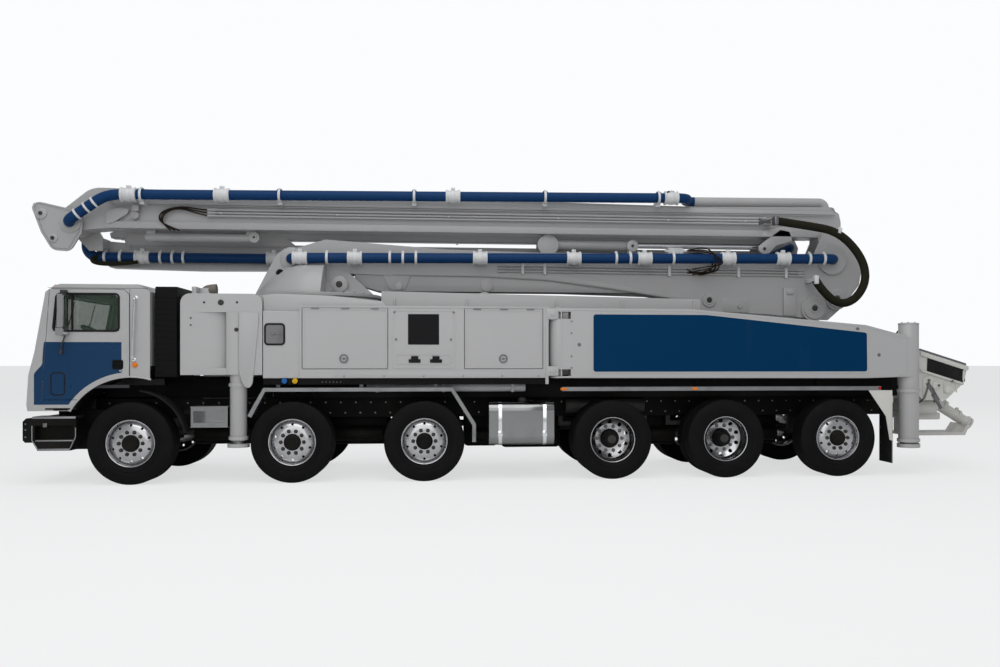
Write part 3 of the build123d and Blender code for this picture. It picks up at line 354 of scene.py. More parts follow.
def finishes():
    """Makes every material once."""
    colors = bpy.context.scene.pump_paint
    paint("body_paint", colors.white, 0.28, 0.25, 0.2)
    two_tone_cab("cab_paint", colors.white, colors.panel_blue)
    paint("boom_paint", colors.boom_white, 0.32, 0.1, 0.15)
    paint("panel_blue_paint", colors.panel_blue, 0.3, 0.02, 0.0, 0.05)
    paint("pipe_paint", colors.pipe_blue, 0.42, 0.02, 0.0, 0.12)
    paint("hopper_paint", colors.cream, 0.4, 0.3, 0.2)
    paint("pump_paint_grey", (0.42, 0.43, 0.44), 0.4, 0.3, 0.2)
    paint("clamp_white", (0.62, 0.63, 0.64), 0.35, 0.05, 0.2)
    # the frame's black also serves as painted shade on the deck's lower faces and the sheets inside the frame
    paint("frame_black_and_painted_shade", colors.black, 0.5, 0.08, 0.0, 0.1)
    bare_metal("polished_aluminium", (0.5, 0.5, 0.51), 0.16)
    bare_metal("tank_metal", (0.28, 0.285, 0.285), 0.12, (0.2, 8, 8))
    bare_metal("satin_aluminium", (0.32, 0.325, 0.33), 0.36)
    bare_metal("chrome", (0.8, 0.81, 0.83), 0.07)
    bare_metal("steel", (0.2, 0.2, 0.205), 0.42)
    tread_plate("chequer_aluminium", (0.3, 0.305, 0.31))
    rubber("tyre_rubber", (0.0022, 0.0022, 0.0022), 0.04)
    rubber("seal_rubber", (0.012, 0.012, 0.012), 0.1)
    rubber("flap_rubber", (0.011, 0.011, 0.011), 0.15)
    # black plastic also gives the painted shade in the sill's slot
    plastic("black_plastic_and_painted_shade", (0.003, 0.003, 0.003))
    plastic("screen_black", (0.004, 0.004, 0.005), 0.18)
    plastic("amber_lens", (0.75, 0.2, 0.02), 0.2)
    plastic("red_lens", (0.5, 0.015, 0.012), 0.2)
    plastic("clear_lens", (0.55, 0.57, 0.6), 0.08)
    plastic("grey_trim", (0.055, 0.055, 0.06))
    plastic("fitting_blue", (0.02, 0.12, 0.38), 0.4)
    plastic("fitting_yellow", (0.62, 0.38, 0.02), 0.4)
    cast("cast_iron", (0.022, 0.022, 0.022), 0.15)
    cast("exhaust_iron", (0.13, 0.125, 0.1))
    tinted_glass("cab_glass", (0.022, 0.055, 0.028))
    hose_cover("hose_cover", (0.006, 0.006, 0.005))
    rubber("thin_hose", (0.014, 0.008, 0.004), 0.1)
    vinyl("seat_vinyl", (0.05, 0.05, 0.055))
    floor_finish("studio_floor", (0.86, 0.86, 0.86))


# ---- mesh forms
SHARP_ANGLE = math.radians(35)
SAME_PLACE = 1e-6
AXES = {"x": Vector((1, 0, 0)), "y": Vector((0, 1, 0)), "z": Vector((0, 0, 1))}


def lifted(axis, u, v, level):
    """A point at a level along an axis; u and v run along the other two axes in order."""
    if axis == "x":
        return Vector((level, u, v))
    if axis == "y":
        return Vector((u, level, v))
    return Vector((u, v, level))


def placed(name, data):
    """A new object in the scene."""
    thing = bpy.data.objects.new(name, data)
    bpy.context.scene.collection.objects.link(thing)
    return thing


class Form:
    """A mesh built with bmesh operators, in metres; one with a hand is drawn on the right side."""

    def __init__(self, hand=""):
        self.mesh = bmesh.new()
        self.hand = hand

    def soften(self, verts, width, segments=2):
        """Bevels every edge between the given vertices that turns a corner."""
        chosen = set(verts)
        edges = [e for e in self.mesh.edges if e.verts[0] in chosen and e.verts[1] in chosen]
        edges = [e for e in edges if len(e.link_faces) == 2 and e.calc_face_angle(0) > 0.5]
        bmesh.ops.bevel(
            self.mesh, geom=edges, offset=width, segments=segments, profile=0.5, affect="EDGES", material=-1,
            clamp_overlap=True,
        )

    def box(self, low, high, bevel=0):
        """A box between two corners."""
        low, high = Vector(low), Vector(high)
        size = high - low
        size = Matrix.Diagonal((abs(size.x), abs(size.y), abs(size.z), 1))
        place = Matrix.Translation((low + high) / 2) @ size
        made = bmesh.ops.create_cube(self.mesh, size=1, matrix=place)
        if bevel:
            self.soften(made["verts"], bevel)
        return self

    def bar(self, start, end, radius, end_radius=None, sides=20, bevel=0):
        """A round bar or cone between two points."""
        start, end = Vector(start), Vector(end)
        turn = (end - start).to_track_quat("Z", "Y").to_matrix().to_4x4()
        made = bmesh.ops.create_cone(
            self.mesh, cap_ends=True, segments=sides, radius1=radius,
            radius2=radius if end_radius is None else end_radius, depth=(end - start).length,
            matrix=Matrix.Translation((start + end) / 2) @ turn,
        )
        if bevel:
            self.soften(made["verts"], bevel)
        return self

    def turned(self, profile, centre, axis="y", sides=48, closed=False):
        """A body of revolution; the profile's points are (radius, distance along the axis from centre)."""
        before = set(self.mesh.verts)
        verts = [self.mesh.verts.new((radius, 0, along)) for radius, along in profile]
        edges = [self.mesh.edges.new(pair) for pair in zip(verts, verts[1:])]
        if closed:
            edges.append(self.mesh.edges.new((verts[-1], verts[0])))
        bmesh.ops.spin(
            self.mesh, geom=verts + edges, cent=(0, 0, 0), axis=(0, 0, 1), angle=2 * math.pi, steps=sides,
            use_merge=True, use_duplicate=False,
        )
        bmesh.ops.remove_doubles(self.mesh, verts=self.since(before), dist=SAME_PLACE)
        turn = AXES[axis].to_track_quat("Z", "Y").to_matrix().to_4x4()
        place = Matrix.Translation(Vector(centre)) @ turn
        bmesh.ops.transform(self.mesh, matrix=place, verts=self.since(before))
        return self

    def since(self, before):
        """The vertices that aren't in a set of earlier ones."""
        return [v for v in self.mesh.verts if v not in before]

    def face(self, outline, axis, level, corner=0):
        """A flat face with its corners rounded."""
        verts = [self.mesh.verts.new(lifted(axis, u, v, level)) for u, v in outline]
        face = self.mesh.faces.new(verts)
        if not corner:
            return face
        made = bmesh.ops.bevel(
            self.mesh, geom=verts, offset=corner, segments=4, profile=0.5, affect="VERTICES", material=-1,
            clamp_overlap=True,
        )
        chosen = set(made["verts"])
        return next(f for f in self.mesh.faces if all(v in chosen for v in f.verts))

    def raise_faces(self, faces, axis, height, bevel=0):
        """Gives flat faces a thickness along an axis."""
        made = bmesh.ops.extrude_face_region(self.mesh, geom=faces, use_keep_orig=True)
        moved = [v for v in made["geom"] if isinstance(v, bmesh.types.BMVert)]
        bmesh.ops.translate(self.mesh, verts=moved, vec=AXES[axis] * height)
        if bevel:
            self.soften(moved, bevel)
        return self

    def plate(self, outline, low, high, axis="y", corner=0, bevel=0):
        """A plate with the given outline between two levels of an axis; its bevel is on the high side."""
        face = self.face(outline, axis, low, corner)
        return self.raise_faces([face], axis, high - low, bevel)

    def border(self, outline, width, low, high, axis="y", corner=0, bevel=0):
        """A closed band of a width along the inside of an outline."""
        face = self.face(outline, axis, low, corner)
        made = bmesh.ops.inset_region(
            self.mesh, faces=[face], thickness=width, use_even_offset=True, use_boundary=True
        )
        band = made["faces"]
        bmesh.ops.delete(self.mesh, geom=[face], context="FACES_ONLY")
        return self.raise_faces(band, axis, high - low, bevel)

    def cable(self, points, radius, sides=6, closed=False):
        """A round cable along a smooth curve; the points are the curve's control points."""
        curve = arrange(
            bpy.data.curves.new("route", "CURVE"), dimensions="3D", bevel_depth=radius,
            bevel_resolution=max(0, sides // 2 - 2), use_fill_caps=not closed, resolution_u=8,
        )
        spline = curve.splines.new("NURBS")
        spline.points.add(len(points) - 1)
        for target, point in zip(spline.points, points):
            target.co = (*point, 1)
        arrange(spline, order_u=3, use_endpoint_u=not closed, use_cyclic_u=closed)
        holder = bpy.data.objects.new("route", curve)
        mesh = bpy.data.meshes.new_from_object(holder)
        before = set(self.mesh.verts)
        self.mesh.from_mesh(mesh)
        bmesh.ops.remove_doubles(self.mesh, verts=self.since(before), dist=SAME_PLACE)
        bpy.data.objects.remove(holder)
        bpy.data.curves.remove(curve)
        bpy.data.meshes.remove(mesh)
        return self

    def bolts(self, places, axis, radius, height, rounding=0.15):
        """Hexagon heads on a face; height is signed along the axis."""
        for place in places:
            start = Vector(place)
            self.bar(start, start + AXES[axis] * height, radius, sides=6, bevel=abs(height) * rounding)
        return self

    def stud(self, x, z, start, end, radius, **shape):
        """A round bar that runs across the truck."""
        return self.bar((x, start, z), (x, end, z), radius, **shape)

    def rod(self, y, z, start, end, radius, **shape):
        """A level round bar that runs along the truck."""
        return self.bar((start, y, z), (end, y, z), radius, **shape)

    def twin(self):
        """Adds the mirror image across the truck's middle plane."""
        geometry = self.mesh.verts[:] + self.mesh.edges[:] + self.mesh.faces[:]
        made = bmesh.ops.duplicate(self.mesh, geom=geometry)
        verts = [v for v in made["geom"] if isinstance(v, bmesh.types.BMVert)]
        bmesh.ops.scale(self.mesh, vec=(1, -1, 1), verts=verts)
        return self

    def data(self, name):
        """Turns the form into smooth mesh data with its sharp edges marked, and frees it."""
        bmesh.ops.recalc_face_normals(self.mesh, faces=self.mesh.faces[:])
        for face in self.mesh.faces:
            face.smooth = True
        for edge in self.mesh.edges:
            edge.smooth = len(edge.link_faces) == 2 and edge.calc_face_angle(0) < SHARP_ANGLE
        data = bpy.data.meshes.new(name)
        self.mesh.to_mesh(data)
        self.mesh.free()
        return data

    def made(self, name, finish, body="chassis", slot=None):
        """Turns the form into a piece that rides on a body; a body's name that ends in _ takes the hand."""
        if self.hand:
            name += f"_{self.hand}"
        if self.hand == "left":
            bmesh.ops.scale(self.mesh, vec=(1, -1, 1), verts=self.mesh.verts[:])
        piece = placed(name, self.data(name))
        piece.data.materials.append(bpy.data.materials[finish])
        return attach(piece, body + self.hand if body.endswith("_") else body)


def dress(node, finish, bevel=0):
    """Gives a solid node its finish, and rounds its sharp edges."""
    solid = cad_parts[node]
    solid.data.materials.clear()
    solid.data.materials.append(bpy.data.materials[finish])
    if bevel:
        arrange(solid.modifiers.new("weld", "WELD"), merge_threshold=0.00001)
        arrange(
            solid.modifiers.new("round_edges", "BEVEL"), limit_method="ANGLE", angle_limit=SHARP_ANGLE,
            width=bevel, segments=2, use_clamp_overlap=True, harden_normals=False,
        )


def repaint(node, finish, chosen):
    """Gives a second finish to a solid node's faces whose centre passes a test."""
    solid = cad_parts[node]
    solid.data.materials.append(bpy.data.materials[finish])
    index = len(solid.data.materials) - 1
    for face in solid.data.polygons:
        if chosen(face.center):
            face.material_index = index


def round_corners(node, corners, width):
    """Rounds the edges of a solid node that run across the truck at given places in side view."""
    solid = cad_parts[node]
    points = solid.data.vertices
    weights = solid.data.attributes.new("bevel_weight_edge", "FLOAT", "EDGE")
    for edge in solid.data.edges:
        start, end = (points[n].co for n in edge.vertices)
        if (start.xz - end.xz).length < 1e-4:
            weights.data[edge.index].value = float(any((start.xz - Vector(c)).length < 2e-3 for c in corners))
    rounding = solid.modifiers.new("round_corners", "BEVEL")
    arrange(rounding, limit_method="WEIGHT", width=width, segments=6, use_clamp_overlap=True)
    solid.modifiers.move(len(solid.modifiers) - 1, 1)


def circle(centre, radius, count, axis="y", start=0):
    """Points evenly spaced round a circle in the plane across an axis."""
    turns = [start + 2 * math.pi * n / count for n in range(count)]
    flat = [(radius * math.cos(t), radius * math.sin(t)) for t in turns]
    return [Vector(centre) + lifted(axis, u, v, 0) for u, v in flat]


def box_outline(left, right, low, high):
    """The corners of a rectangle."""
    return [(left, low), (right, low), (right, high), (left, high)]


# ---- finishes on the solid nodes
# finish, rounding and the nodes that get them; a name that ends in an underscore stands for both hands
DRESSED = (
    ("frame_black_and_painted_shade", 0.004, ["chassis_frame"]),
    ("frame_black_and_painted_shade", 0.012, ["bumper"]),
    ("cast_iron", 0.006, ["axles"]),
    ("cast_iron", 0.004, ["knuckle_"]),
    ("cab_paint", 0.02, ["cab_shell"]),
    ("cab_paint", 0.004, ["cab_door_"]),
    ("cab_glass", 0, ["windscreen", "cab_door_glass_"]),
    ("black_plastic_and_painted_shade", 0.02, ["engine_and_intake"]),
    ("tank_metal", 0.006, ["side_tanks"]),
    ("chequer_aluminium", 0.002, ["mudguards"]),
    ("pump_paint_grey", 0.01, ["pump_unit"]),
    ("body_paint", 0.006, ["deck", "toolboxes"]),
    ("body_paint", 0.01, ["outrigger_housing"]),
    ("body_paint", 0.004, ["toolbox_door_front_", "toolbox_door_rear_", "front_jack_", "rear_jack_"]),
    ("body_paint", 0.012, ["front_beam_"]),
    ("body_paint", 0.008, ["rear_arm_"]),
    ("hopper_paint", 0.008, ["hopper"]),
    ("hopper_paint", 0.004, ["outlet_pipe"]),
    ("steel", 0.003, ["hopper_grate"]),
    ("boom_paint", 0.01, ["turret"]),
    ("boom_paint", 0.012, ["boom_1", "boom_2", "boom_3", "boom_4"]),
    ("boom_paint", 0.004, ["lift_barrel"]),
    ("pipe_paint", 0, ["pipe_1", "pipe_2", "pipe_3", "pipe_4"]),
    ("chrome", 0, ["lift_rod", "fold_rod"]),
    ("hose_cover", 0, ["hose_bundle"]),
)


class PUMP_OT_finishes(bpy.types.Operator):
    """Make every material and finish the solid nodes."""

    bl_idname = "pump.finishes"
    bl_label = "Finishes"

    def execute(self, context):
        finishes()
        for finish, bevel, nodes in DRESSED:
            for node in nodes:
                for name in [node + hand for hand in HANDS] if node.endswith("_") else [node]:
                    dress(name, finish, bevel)
        # painted shade: the deck's faces below 1.33 m take the frame's black, standing for the shade in the
        # gap under the body
        repaint("deck", "frame_black_and_painted_shade", lambda p: p.z < 1.33)
        repaint("mudguards", "flap_rubber", lambda p: p.x < -4.0)
        repaint("pipe_2", "boom_paint", lambda p: p.x > 2.42)
        repaint("pipe_2", "clamp_white", lambda p: -5.5 < p.x < 2.2 and p.z < 3.738 + p.x * 0.0108)
        for pipe, (_, side, _, _, couplings, _) in PIPE_RUNS.items():
            inner = abs(side) - 0.06
            repaint(
                pipe, "clamp_white",
                lambda p: any(abs(p.x - x) < 0.04 for x in couplings) and abs(p.y) < inner,
            )
        round_corners("boom_3", ((-6.65, 3.607), (-6.56, 3.66), (-6.378, 3.014), (-6.15, 3.000)), 0.06)
        round_corners("boom_2", ((4.489, 3.773), (-5.903, 3.871)), 0.1)
        return {"FINISHED"}


# ---- wheels
class WheelSettings(bpy.types.PropertyGroup):
    """Tyres and rims."""

    blocks: IntProperty(name="Tread blocks", description="Blocks round a tyre", default=72, min=24, max=120)
    groove: length("Groove depth", "Depth of the tread's grooves", 0.012)
    rim_radius: length("Rim radius", "Outside of the rim's flange", 0.299)
    nuts: IntProperty(name="Wheel nuts", description="Nuts on each wheel", default=10, min=6, max=12)


AXLES = 6
TWIN_AXLES = (4, 5)
RIBS = 5
RIB_GAP = 0.006


def tyre(form, centre, outside, width, settings):
    """A tyre with ribs, grooves and shoulder blocks, its outer wall at outside."""
    radius = TYRE_RADIUS - 0.001
    rim = settings.rim_radius
    half = width / 2
    tread = half - 0.028
    rib = 2 * tread / RIBS
    profile = [(rim - 0.008, -half + 0.05), (rim + 0.004, -half + 0.034), (rim + 0.022, -half + 0.022)]
    profile += [(rim + 0.055, -half + 0.006), (rim + 0.062, -half + 0.01), (rim + 0.085, -half + 0.002)]
    profile += [(radius - 0.095, -half), (radius - 0.055, -half + 0.006), (radius - 0.016, -half + 0.017)]
    for n in range(RIBS):
        left = -tread + n * rib
        inner = left + (RIB_GAP if n else 0)
        outer = left + rib - (RIB_GAP if n < RIBS - 1 else 0)
        profile += [(radius, inner), (radius, outer)]
        if n < RIBS - 1:
            profile += [(radius - settings.groove, outer + 0.002), (radius - settings.groove, outer + 0.01)]
    profile += [(r, -along) for r, along in reversed(profile[:9])]
    before = set(form.mesh.faces)
    place = Vector((centre.x, outside - half, centre.z))
    form.turned(profile, place, "y", settings.blocks * 2)
    blocks = [
        f for f in form.mesh.faces
        if f not in before and min((v.co.xz - place.xz).length for v in f.verts) > radius - 0.001
    ]
    bmesh.ops.recalc_face_normals(form.mesh, faces=form.mesh.faces[:])
    bmesh.ops.inset_individual(form.mesh, faces=blocks, thickness=0.0022, depth=0.0009)


def rim_profile(lip, inner_edge, dish):
    """The section of a rim and its disc, as (radius, distance inwards from the tyre's outer wall)."""
    profile = [(lip - 0.026, inner_edge), (lip - 0.003, inner_edge - 0.004), (lip, inner_edge - 0.012)]
    profile += [(lip - 0.014, inner_edge - 0.02), (lip - 0.022, inner_edge - 0.07), (lip - 0.022, 0.075)]
    profile += [(lip - 0.014, 0.05), (lip, 0.043), (lip, 0.036), (lip - 0.005, 0.031), (lip - 0.014, 0.033)]
    profile += [(lip - 0.021, 0.045), (lip - 0.028, 0.07)]
    return profile + dish


def cut(form, cutter):
    """Takes the cutter's volume out of a form."""
    whole, tool = meshes = [placed("cut", source.data("cut")) for source in (form, cutter)]
    taken = whole.modifiers.new("cut", "BOOLEAN")
    arrange(taken, object=tool, operation="DIFFERENCE", solver="EXACT", use_self=True)
    result = bpy.data.meshes.new_from_object(whole.evaluated_get(bpy.context.evaluated_depsgraph_get()))
    form.mesh = bmesh.new()
    form.mesh.from_mesh(result)
    for thing in meshes:
        data = thing.data
        bpy.data.objects.remove(thing)
        bpy.data.meshes.remove(data)
    bpy.data.meshes.remove(result)
    return form


class PUMP_OT_tyres(bpy.types.Operator):
    """Build the tyres with their tread, in place of the plain ones."""

    bl_idname = "pump.tyres"
    bl_label = "Tyres"

    def execute(self, context):
        settings = context.scene.pump_wheels
        for number in range(1, AXLES + 1):
            twin = number in TWIN_AXLES
            width = 0.28 if twin else 0.385
            for hand in HANDS:
                name = f"wheel_{number}_{hand}"
                form = Form(hand)
                tyre(form, middle(name), HALF_WIDTH, width, settings)
                if twin:
                    tyre(form, middle(name), HALF_WIDTH - width - 0.04, width, settings)
                piece = form.made(f"tyre_{number}", "tyre_rubber", name)
                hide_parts(name)
        return {"FINISHED"}


def rim_and_hub(settings, number, twin, hand):
    """One rim, its nuts and its hub."""
    name = f"wheel_{number}_{hand}"
    x, _, z = middle(name)
    disc = 0.28 if twin else 0.05
    depth = disc + 0.01
    if twin:
        dish = [(0.268, 0.2), (0.262, 0.245), (0.235, 0.262), (0.2, 0.277), (0.19, disc), (0.085, disc)]
        dish += [(0.085, disc + 0.03), (0.19, disc + 0.03), (0.262, disc + 0.012), (0.277, 0.2)]
        holes_at, hole_radius, inner = 0.222, 0.026, 0.58
        nuts_at, nut_finish = 0.1675, "steel"
        hub_profile = [(0, depth), (0.125, depth), (0.125, depth - 0.03), (0.105, depth - 0.05)]
        hub_profile += [(0.1, depth - 0.155), (0.088, depth - 0.175), (0, depth - 0.175)]
        hub_end, ring = depth - 0.175, 0.072
    else:
        dish = [(0.268, 0.105), (0.258, 0.088), (0.238, 0.072), (0.215, 0.06), (0.19, 0.053), (0.165, disc)]
        dish += [(0.085, disc), (0.085, disc + 0.025), (0.165, disc + 0.025), (0.215, 0.088)]
        dish += [(0.25, 0.112), (0.277, 0.135)]
        holes_at, hole_radius, inner = 0.226, 0.017, 0.345
        nuts_at, nut_finish = 0.1425, "cast_iron"
        hub_profile = [(0, depth), (0.108, depth), (0.106, disc - 0.014), (0.092, disc - 0.022)]
        hub_profile += [(0.088, 0.014), (0.078, 0.009), (0.05, 0.009), (0.046, 0.014), (0, 0.014)]
        hub_end, ring = 0.01, 0.066
    section = rim_profile(settings.rim_radius, inner, dish)
    form = Form(hand).turned([(r, -d) for r, d in section], (x, HALF_WIDTH, z), "y", 72, closed=True)
    face = HALF_WIDTH - depth
    drill = Form()
    for hole in circle((x, face, z), holes_at, settings.nuts, "y", math.pi / settings.nuts):
        drill.stud(hole.x, hole.z, face - 0.12, face + 0.12, hole_radius)
    cut(form, drill).made(f"rim_{number}", "polished_aluminium", name)
    seat = HALF_WIDTH - disc
    nuts = Form(hand)
    for place in circle((x, seat, z), nuts_at, settings.nuts):
        nuts.bar(place, place + Vector((0, 0.012, 0)), 0.0255, 0.0225, 18)
        nuts.stud(place.x, place.z, seat, seat + 0.032, 0.0185, sides=6, bevel=0.002)
        nuts.stud(place.x, place.z, seat, seat + 0.04, 0.01, sides=12, bevel=0.002)
    nuts.made(f"wheel_nuts_{number}", nut_finish, name, "tyre")
    hub = Form(hand).turned([(r, -d) for r, d in hub_profile], (x, HALF_WIDTH, z), "y", 40)
    hub.bolts(circle((x, HALF_WIDTH - hub_end, z), ring, 8), "y", 0.008, 0.006)
    hub.made(f"hub_{number}", "frame_black_and_painted_shade", name)


class PUMP_OT_rims(bpy.types.Operator):
    """Build the polished rims with their hand holes, wheel nuts and hubs."""

    bl_idname = "pump.rims"
    bl_label = "Rims and hubs"

    def execute(self, context):
        for number in range(1, AXLES + 1):
            for hand in HANDS:
                rim_and_hub(context.scene.pump_wheels, number, number in TWIN_AXLES, hand)
        return {"FINISHED"}


# ---- cab
class CabSettings(bpy.types.PropertyGroup):
    """Trim of the cab."""

    seal: length("Seal width", "Width of the window rubbers", 0.026)
    rail: length("Rail radius", "Radius of the grab rails", 0.014)
    slats: IntProperty(name="Grille slats", description="Slats of the front grille", default=8, min=3, max=16)
    cushion: length("Cushion rounding", "Rounding of the seat cushions", 0.045)


NOSE_RAKE = 0.062
SCREEN_RAKE = (6.208 - 6.078) / (2.39 - 1.648)


def leaned(form, level, rake):
    """Leans a form back by a rake, about a height."""
    shear = Matrix.Identity(4)
    shear[0][2] = rake
    shear[0][3] = -rake * level
    bmesh.ops.transform(form.mesh, matrix=shear, verts=form.mesh.verts[:])
    return form


class PUMP_OT_cab_windows(bpy.types.Operator):
    """Fit the window rubbers, the windscreen's frame and the wipers."""

    bl_idname = "pump.cab_windows"
    bl_label = "Cab windows"

    def execute(self, context):
        face, seal = CAB_SIDE, context.scene.pump_cab.seal
        low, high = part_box("cab_door_glass_left")
        grow = 0.012
        around = box_outline(low.x - grow, high.x + grow, low.z - grow, high.z + grow)
        around[3] = (low.x - grow + 0.045, high.z + grow)
        divider = low.x + 0.215
        for hand in HANDS:
            form = Form(hand).border(around, seal, face - 0.03, face + 0.006, corner=0.06, bevel=0.003)
            form.box((divider, face - 0.026, low.z), (divider + 0.022, face - 0.002, high.z), 0.003)
            form.made("window_rubber", "seal_rubber", "cab_door_")
            pane = box_outline(-6.02, -5.845, 1.111, 1.399)
            form = Form(hand).border(pane, 0.014, face - 0.001, face + 0.004, corner=0.05, bevel=0.002)
            form.made("kerb_window_rubber", "seal_rubber", "cab_door_")
        low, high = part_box("windscreen")
        bend = high.y - 0.08
        rubbers = Form()
        for level in (low.z - 0.004, high.z + 0.004):
            front = low.x + (level - low.z) * SCREEN_RAKE
            route = [(front + 0.06, -high.y), (front + 0.004, -bend), (front, -bend + 0.15), (front, 0)]
            route += [(x, -y) for x, y in reversed(route[:3])]
            rubbers.cable([(x, y, level) for x, y in route], 0.019, 8)
        height = high.z - low.z
        for y in (-high.y, high.y):
            foot = Vector((low.x + 0.056, y, low.z))
            rubbers.bar(foot, foot + Vector((SCREEN_RAKE * height, 0, height)), 0.02)
        rubbers.made("windscreen_rubber", "seal_rubber")
        wipers = Form()
        for pivot, tip in ((-0.62, -0.12), (0.12, 0.62)):
            foot = Vector((low.x - 0.022, pivot, low.z - 0.06))
            head = Vector((low.x + 0.052, tip, low.z + 0.42))
            wipers.bar(foot + Vector((0.03, 0, 0)), foot - Vector((0.015, 0, 0)), 0.02, 0.014)
            wipers.bar(foot, head, 0.009, 0.006, 8)
            middle_at = head - Vector((0.004, 0, 0))
            along = Vector((0.045, 0.1, 0.33)) * 0.75
            wipers.bar(middle_at - along, middle_at + along, 0.007, sides=6)
        wipers.made("wipers", "black_plastic_and_painted_shade")
        return {"FINISHED"}


def cab_fittings(hand, face, rail):
    """Handle, lock, grab rail, lamp, black strips as painted shade in the sill's slot, seams and the rolled
    edge of the wheel arch.
    """
    handle = Form(hand)
    around = box_outline(-5.284, -5.155, 1.435, 1.551)
    handle.border(around, 0.016, face - 0.01, face + 0.008, corner=0.02, bevel=0.002)
    handle.box((-5.275, face - 0.001, 1.445), (-5.165, face + 0.003, 1.541))
    handle.box((-5.268, face, 1.478), (-5.172, face + 0.012, 1.512), 0.005)
    handle.made("cab_handle", "black_plastic_and_painted_shade", "cab_door_")
    Form(hand).stud(-5.19, 1.415, face, face + 0.004, 0.011).made("cab_lock", "chrome", "cab_door_")
    out = face + 0.05
    route = [(-5.006, face, 2.325), (-5.006, out, 2.325), (-5.006, out, 2.25), (-5.02, out, 1.9)]
    route += [(-5.029, out, 1.62), (-5.029, out, 1.56), (-5.029, face, 1.56)]
    grab = Form(hand).cable(route, rail, 10)
    for x, z in ((-5.006, 2.325), (-5.029, 1.56)):
        grab.stud(x, z, face - 0.002, face + 0.006, 0.026, bevel=0.002)
    grab.made("cab_grab_rail", "chrome")
    dome = [(0, 0), (0.034, 0), (0.032, 0.012), (0.02, 0.02), (0, 0.023)]
    Form(hand).turned(dome, (-5.015, face, 1.489), "y", 24).made("cab_side_lamp", "amber_lens")
    # painted shade: these black strips stand for the shade inside the slot along the sill
    sill = Form(hand).box((-6.08, face - 0.004, 0.936), (-5.71, face + 0.002, 0.956), 0.001)
    sill.box((-5.98, face, 0.928), (-5.81, face + 0.012, 0.941), 0.003)
    sill.made("sill_slot_shade", "black_plastic_and_painted_shade")
    seam = Form(hand).box((-5.078, face - 0.004, 1.345), (-5.073, face + 0.0012, 2.43))
    seam.box((-6.05, face - 0.004, 2.438), (-4.86, face + 0.0012, 2.442))
    seam.made("cab_seam", "seal_rubber")
    turns = [math.radians(t) for t in range(151, 72, -6)]
    arch = [FRONT_ARCH + ARCH_RADIUS * Vector((math.cos(t), 0, math.sin(t))) for t in turns]
    edge = Form(hand).cable([(point.x, face, point.z) for point in arch], 0.012, 8)
    edge.made("arch_edge", "body_paint", slot="cab_white")


def mirror_trim(hand):
    """Bright mirrors on a black post: the finish of the door's own faces beyond its panel, and the glass."""
    door = f"cab_door_{hand}"
    repaint(door, "satin_aluminium", lambda p: abs(p.y) > CAB_SIDE + 0.004)
    outer = max(abs(corner.y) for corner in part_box(door))
    glass = Form(hand)
    for bottom, top in ((1.965, 2.33), (1.862, 1.922)):
        glass.box((-5.787, outer - 0.165, bottom), (-5.783, outer - 0.014, top), 0.001)
    glass.made("mirror_glass", "chrome", door)
    clamps = Form(hand)
    for z in (1.868, 2.39):
        clamps.box((-5.872, outer - 0.2, z - 0.02), (-5.8, outer - 0.13, z + 0.02), 0.008)
    for z in (1.99, 2.3):
        clamps.stud(-5.838, z, outer - 0.2, outer - 0.13, 0.018)
    out = CAB_SIDE + 0.03
    route = [(-5.835, out, 1.85), (-5.86, out, 1.78), (-5.885, out - 0.01, 1.7), (-5.89, CAB_SIDE, 1.66)]
    clamps.cable(route, 0.008)
    clamps.box((-5.905, CAB_SIDE, 1.62), (-5.872, out, 1.68), 0.006)
    clamps.made("mirror_clamps", "grey_trim", door)


class PUMP_OT_cab_sides(bpy.types.Operator):
    """Fit the handles, the grab rails, the lamps, the painted shade of the sills' slots and the mirrors'
    finish.
    """

    bl_idname = "pump.cab_sides"
    bl_label = "Cab sides"

    def execute(self, context):
        for hand in HANDS:
            cab_fittings(hand, CAB_SIDE, context.scene.pump_cab.rail)
            mirror_trim(hand)
        return {"FINISHED"}


def nose_grille(front, slats):
    """A dark mesh behind slats, posts and a frame, all leaned with the nose."""
    low, high, half = 1.03, 1.37, 0.62
    base = 0.994
    grille = Form().box((front - 0.004, -half, low), (front + 0.02, half, high))
    leaned(grille, base, NOSE_RAKE).made("grille_mesh", "screen_black", slot="frame_black")
    bars = Form()
    for n in range(slats):
        z = low + (n + 0.5) * (high - low) / slats
        bars.box((front - 0.022, -half + 0.015, z - 0.006), (front + 0.004, half - 0.015, z + 0.006), 0.003)
    for y in (-0.3, 0, 0.3):
        bars.box((front - 0.016, y - 0.006, low), (front + 0.004, y + 0.006, high), 0.002)
    around = box_outline(-half - 0.02, half + 0.02, low - 0.02, high + 0.02)
    bars.border(around, 0.03, front + 0.004, front - 0.026, "x", 0.03, 0.003)
    leaned(bars, base, NOSE_RAKE).made("grille", "satin_aluminium")


def front_lamps(front):
    """Round headlamps and turn lamps in the bumper."""
    bezels, lenses = Form(), Form()
    bezel = [(0.078, 0.01), (0.096, 0.01), (0.096, -0.012), (0.088, -0.02), (0.078, -0.008)]
    lens = [(0, -0.016), (0.04, -0.013), (0.08, -0.002), (0.08, 0.008), (0, 0.008)]
    for y in (0.72, 0.92):
        bezels.turned(bezel, (front, y, 0.675), "x", 32, closed=True)
        lenses.turned(lens, (front, y, 0.675), "x", 32)
    bezels.twin().made("headlamp_bezels", "chrome")
    lenses.twin().made("headlamps", "clear_lens")
    turns = Form().box((front - 0.012, 1.04, 0.62), (front + 0.01, 1.15, 0.73), 0.008)
    turns.twin().made("turn_lamps", "amber_lens")


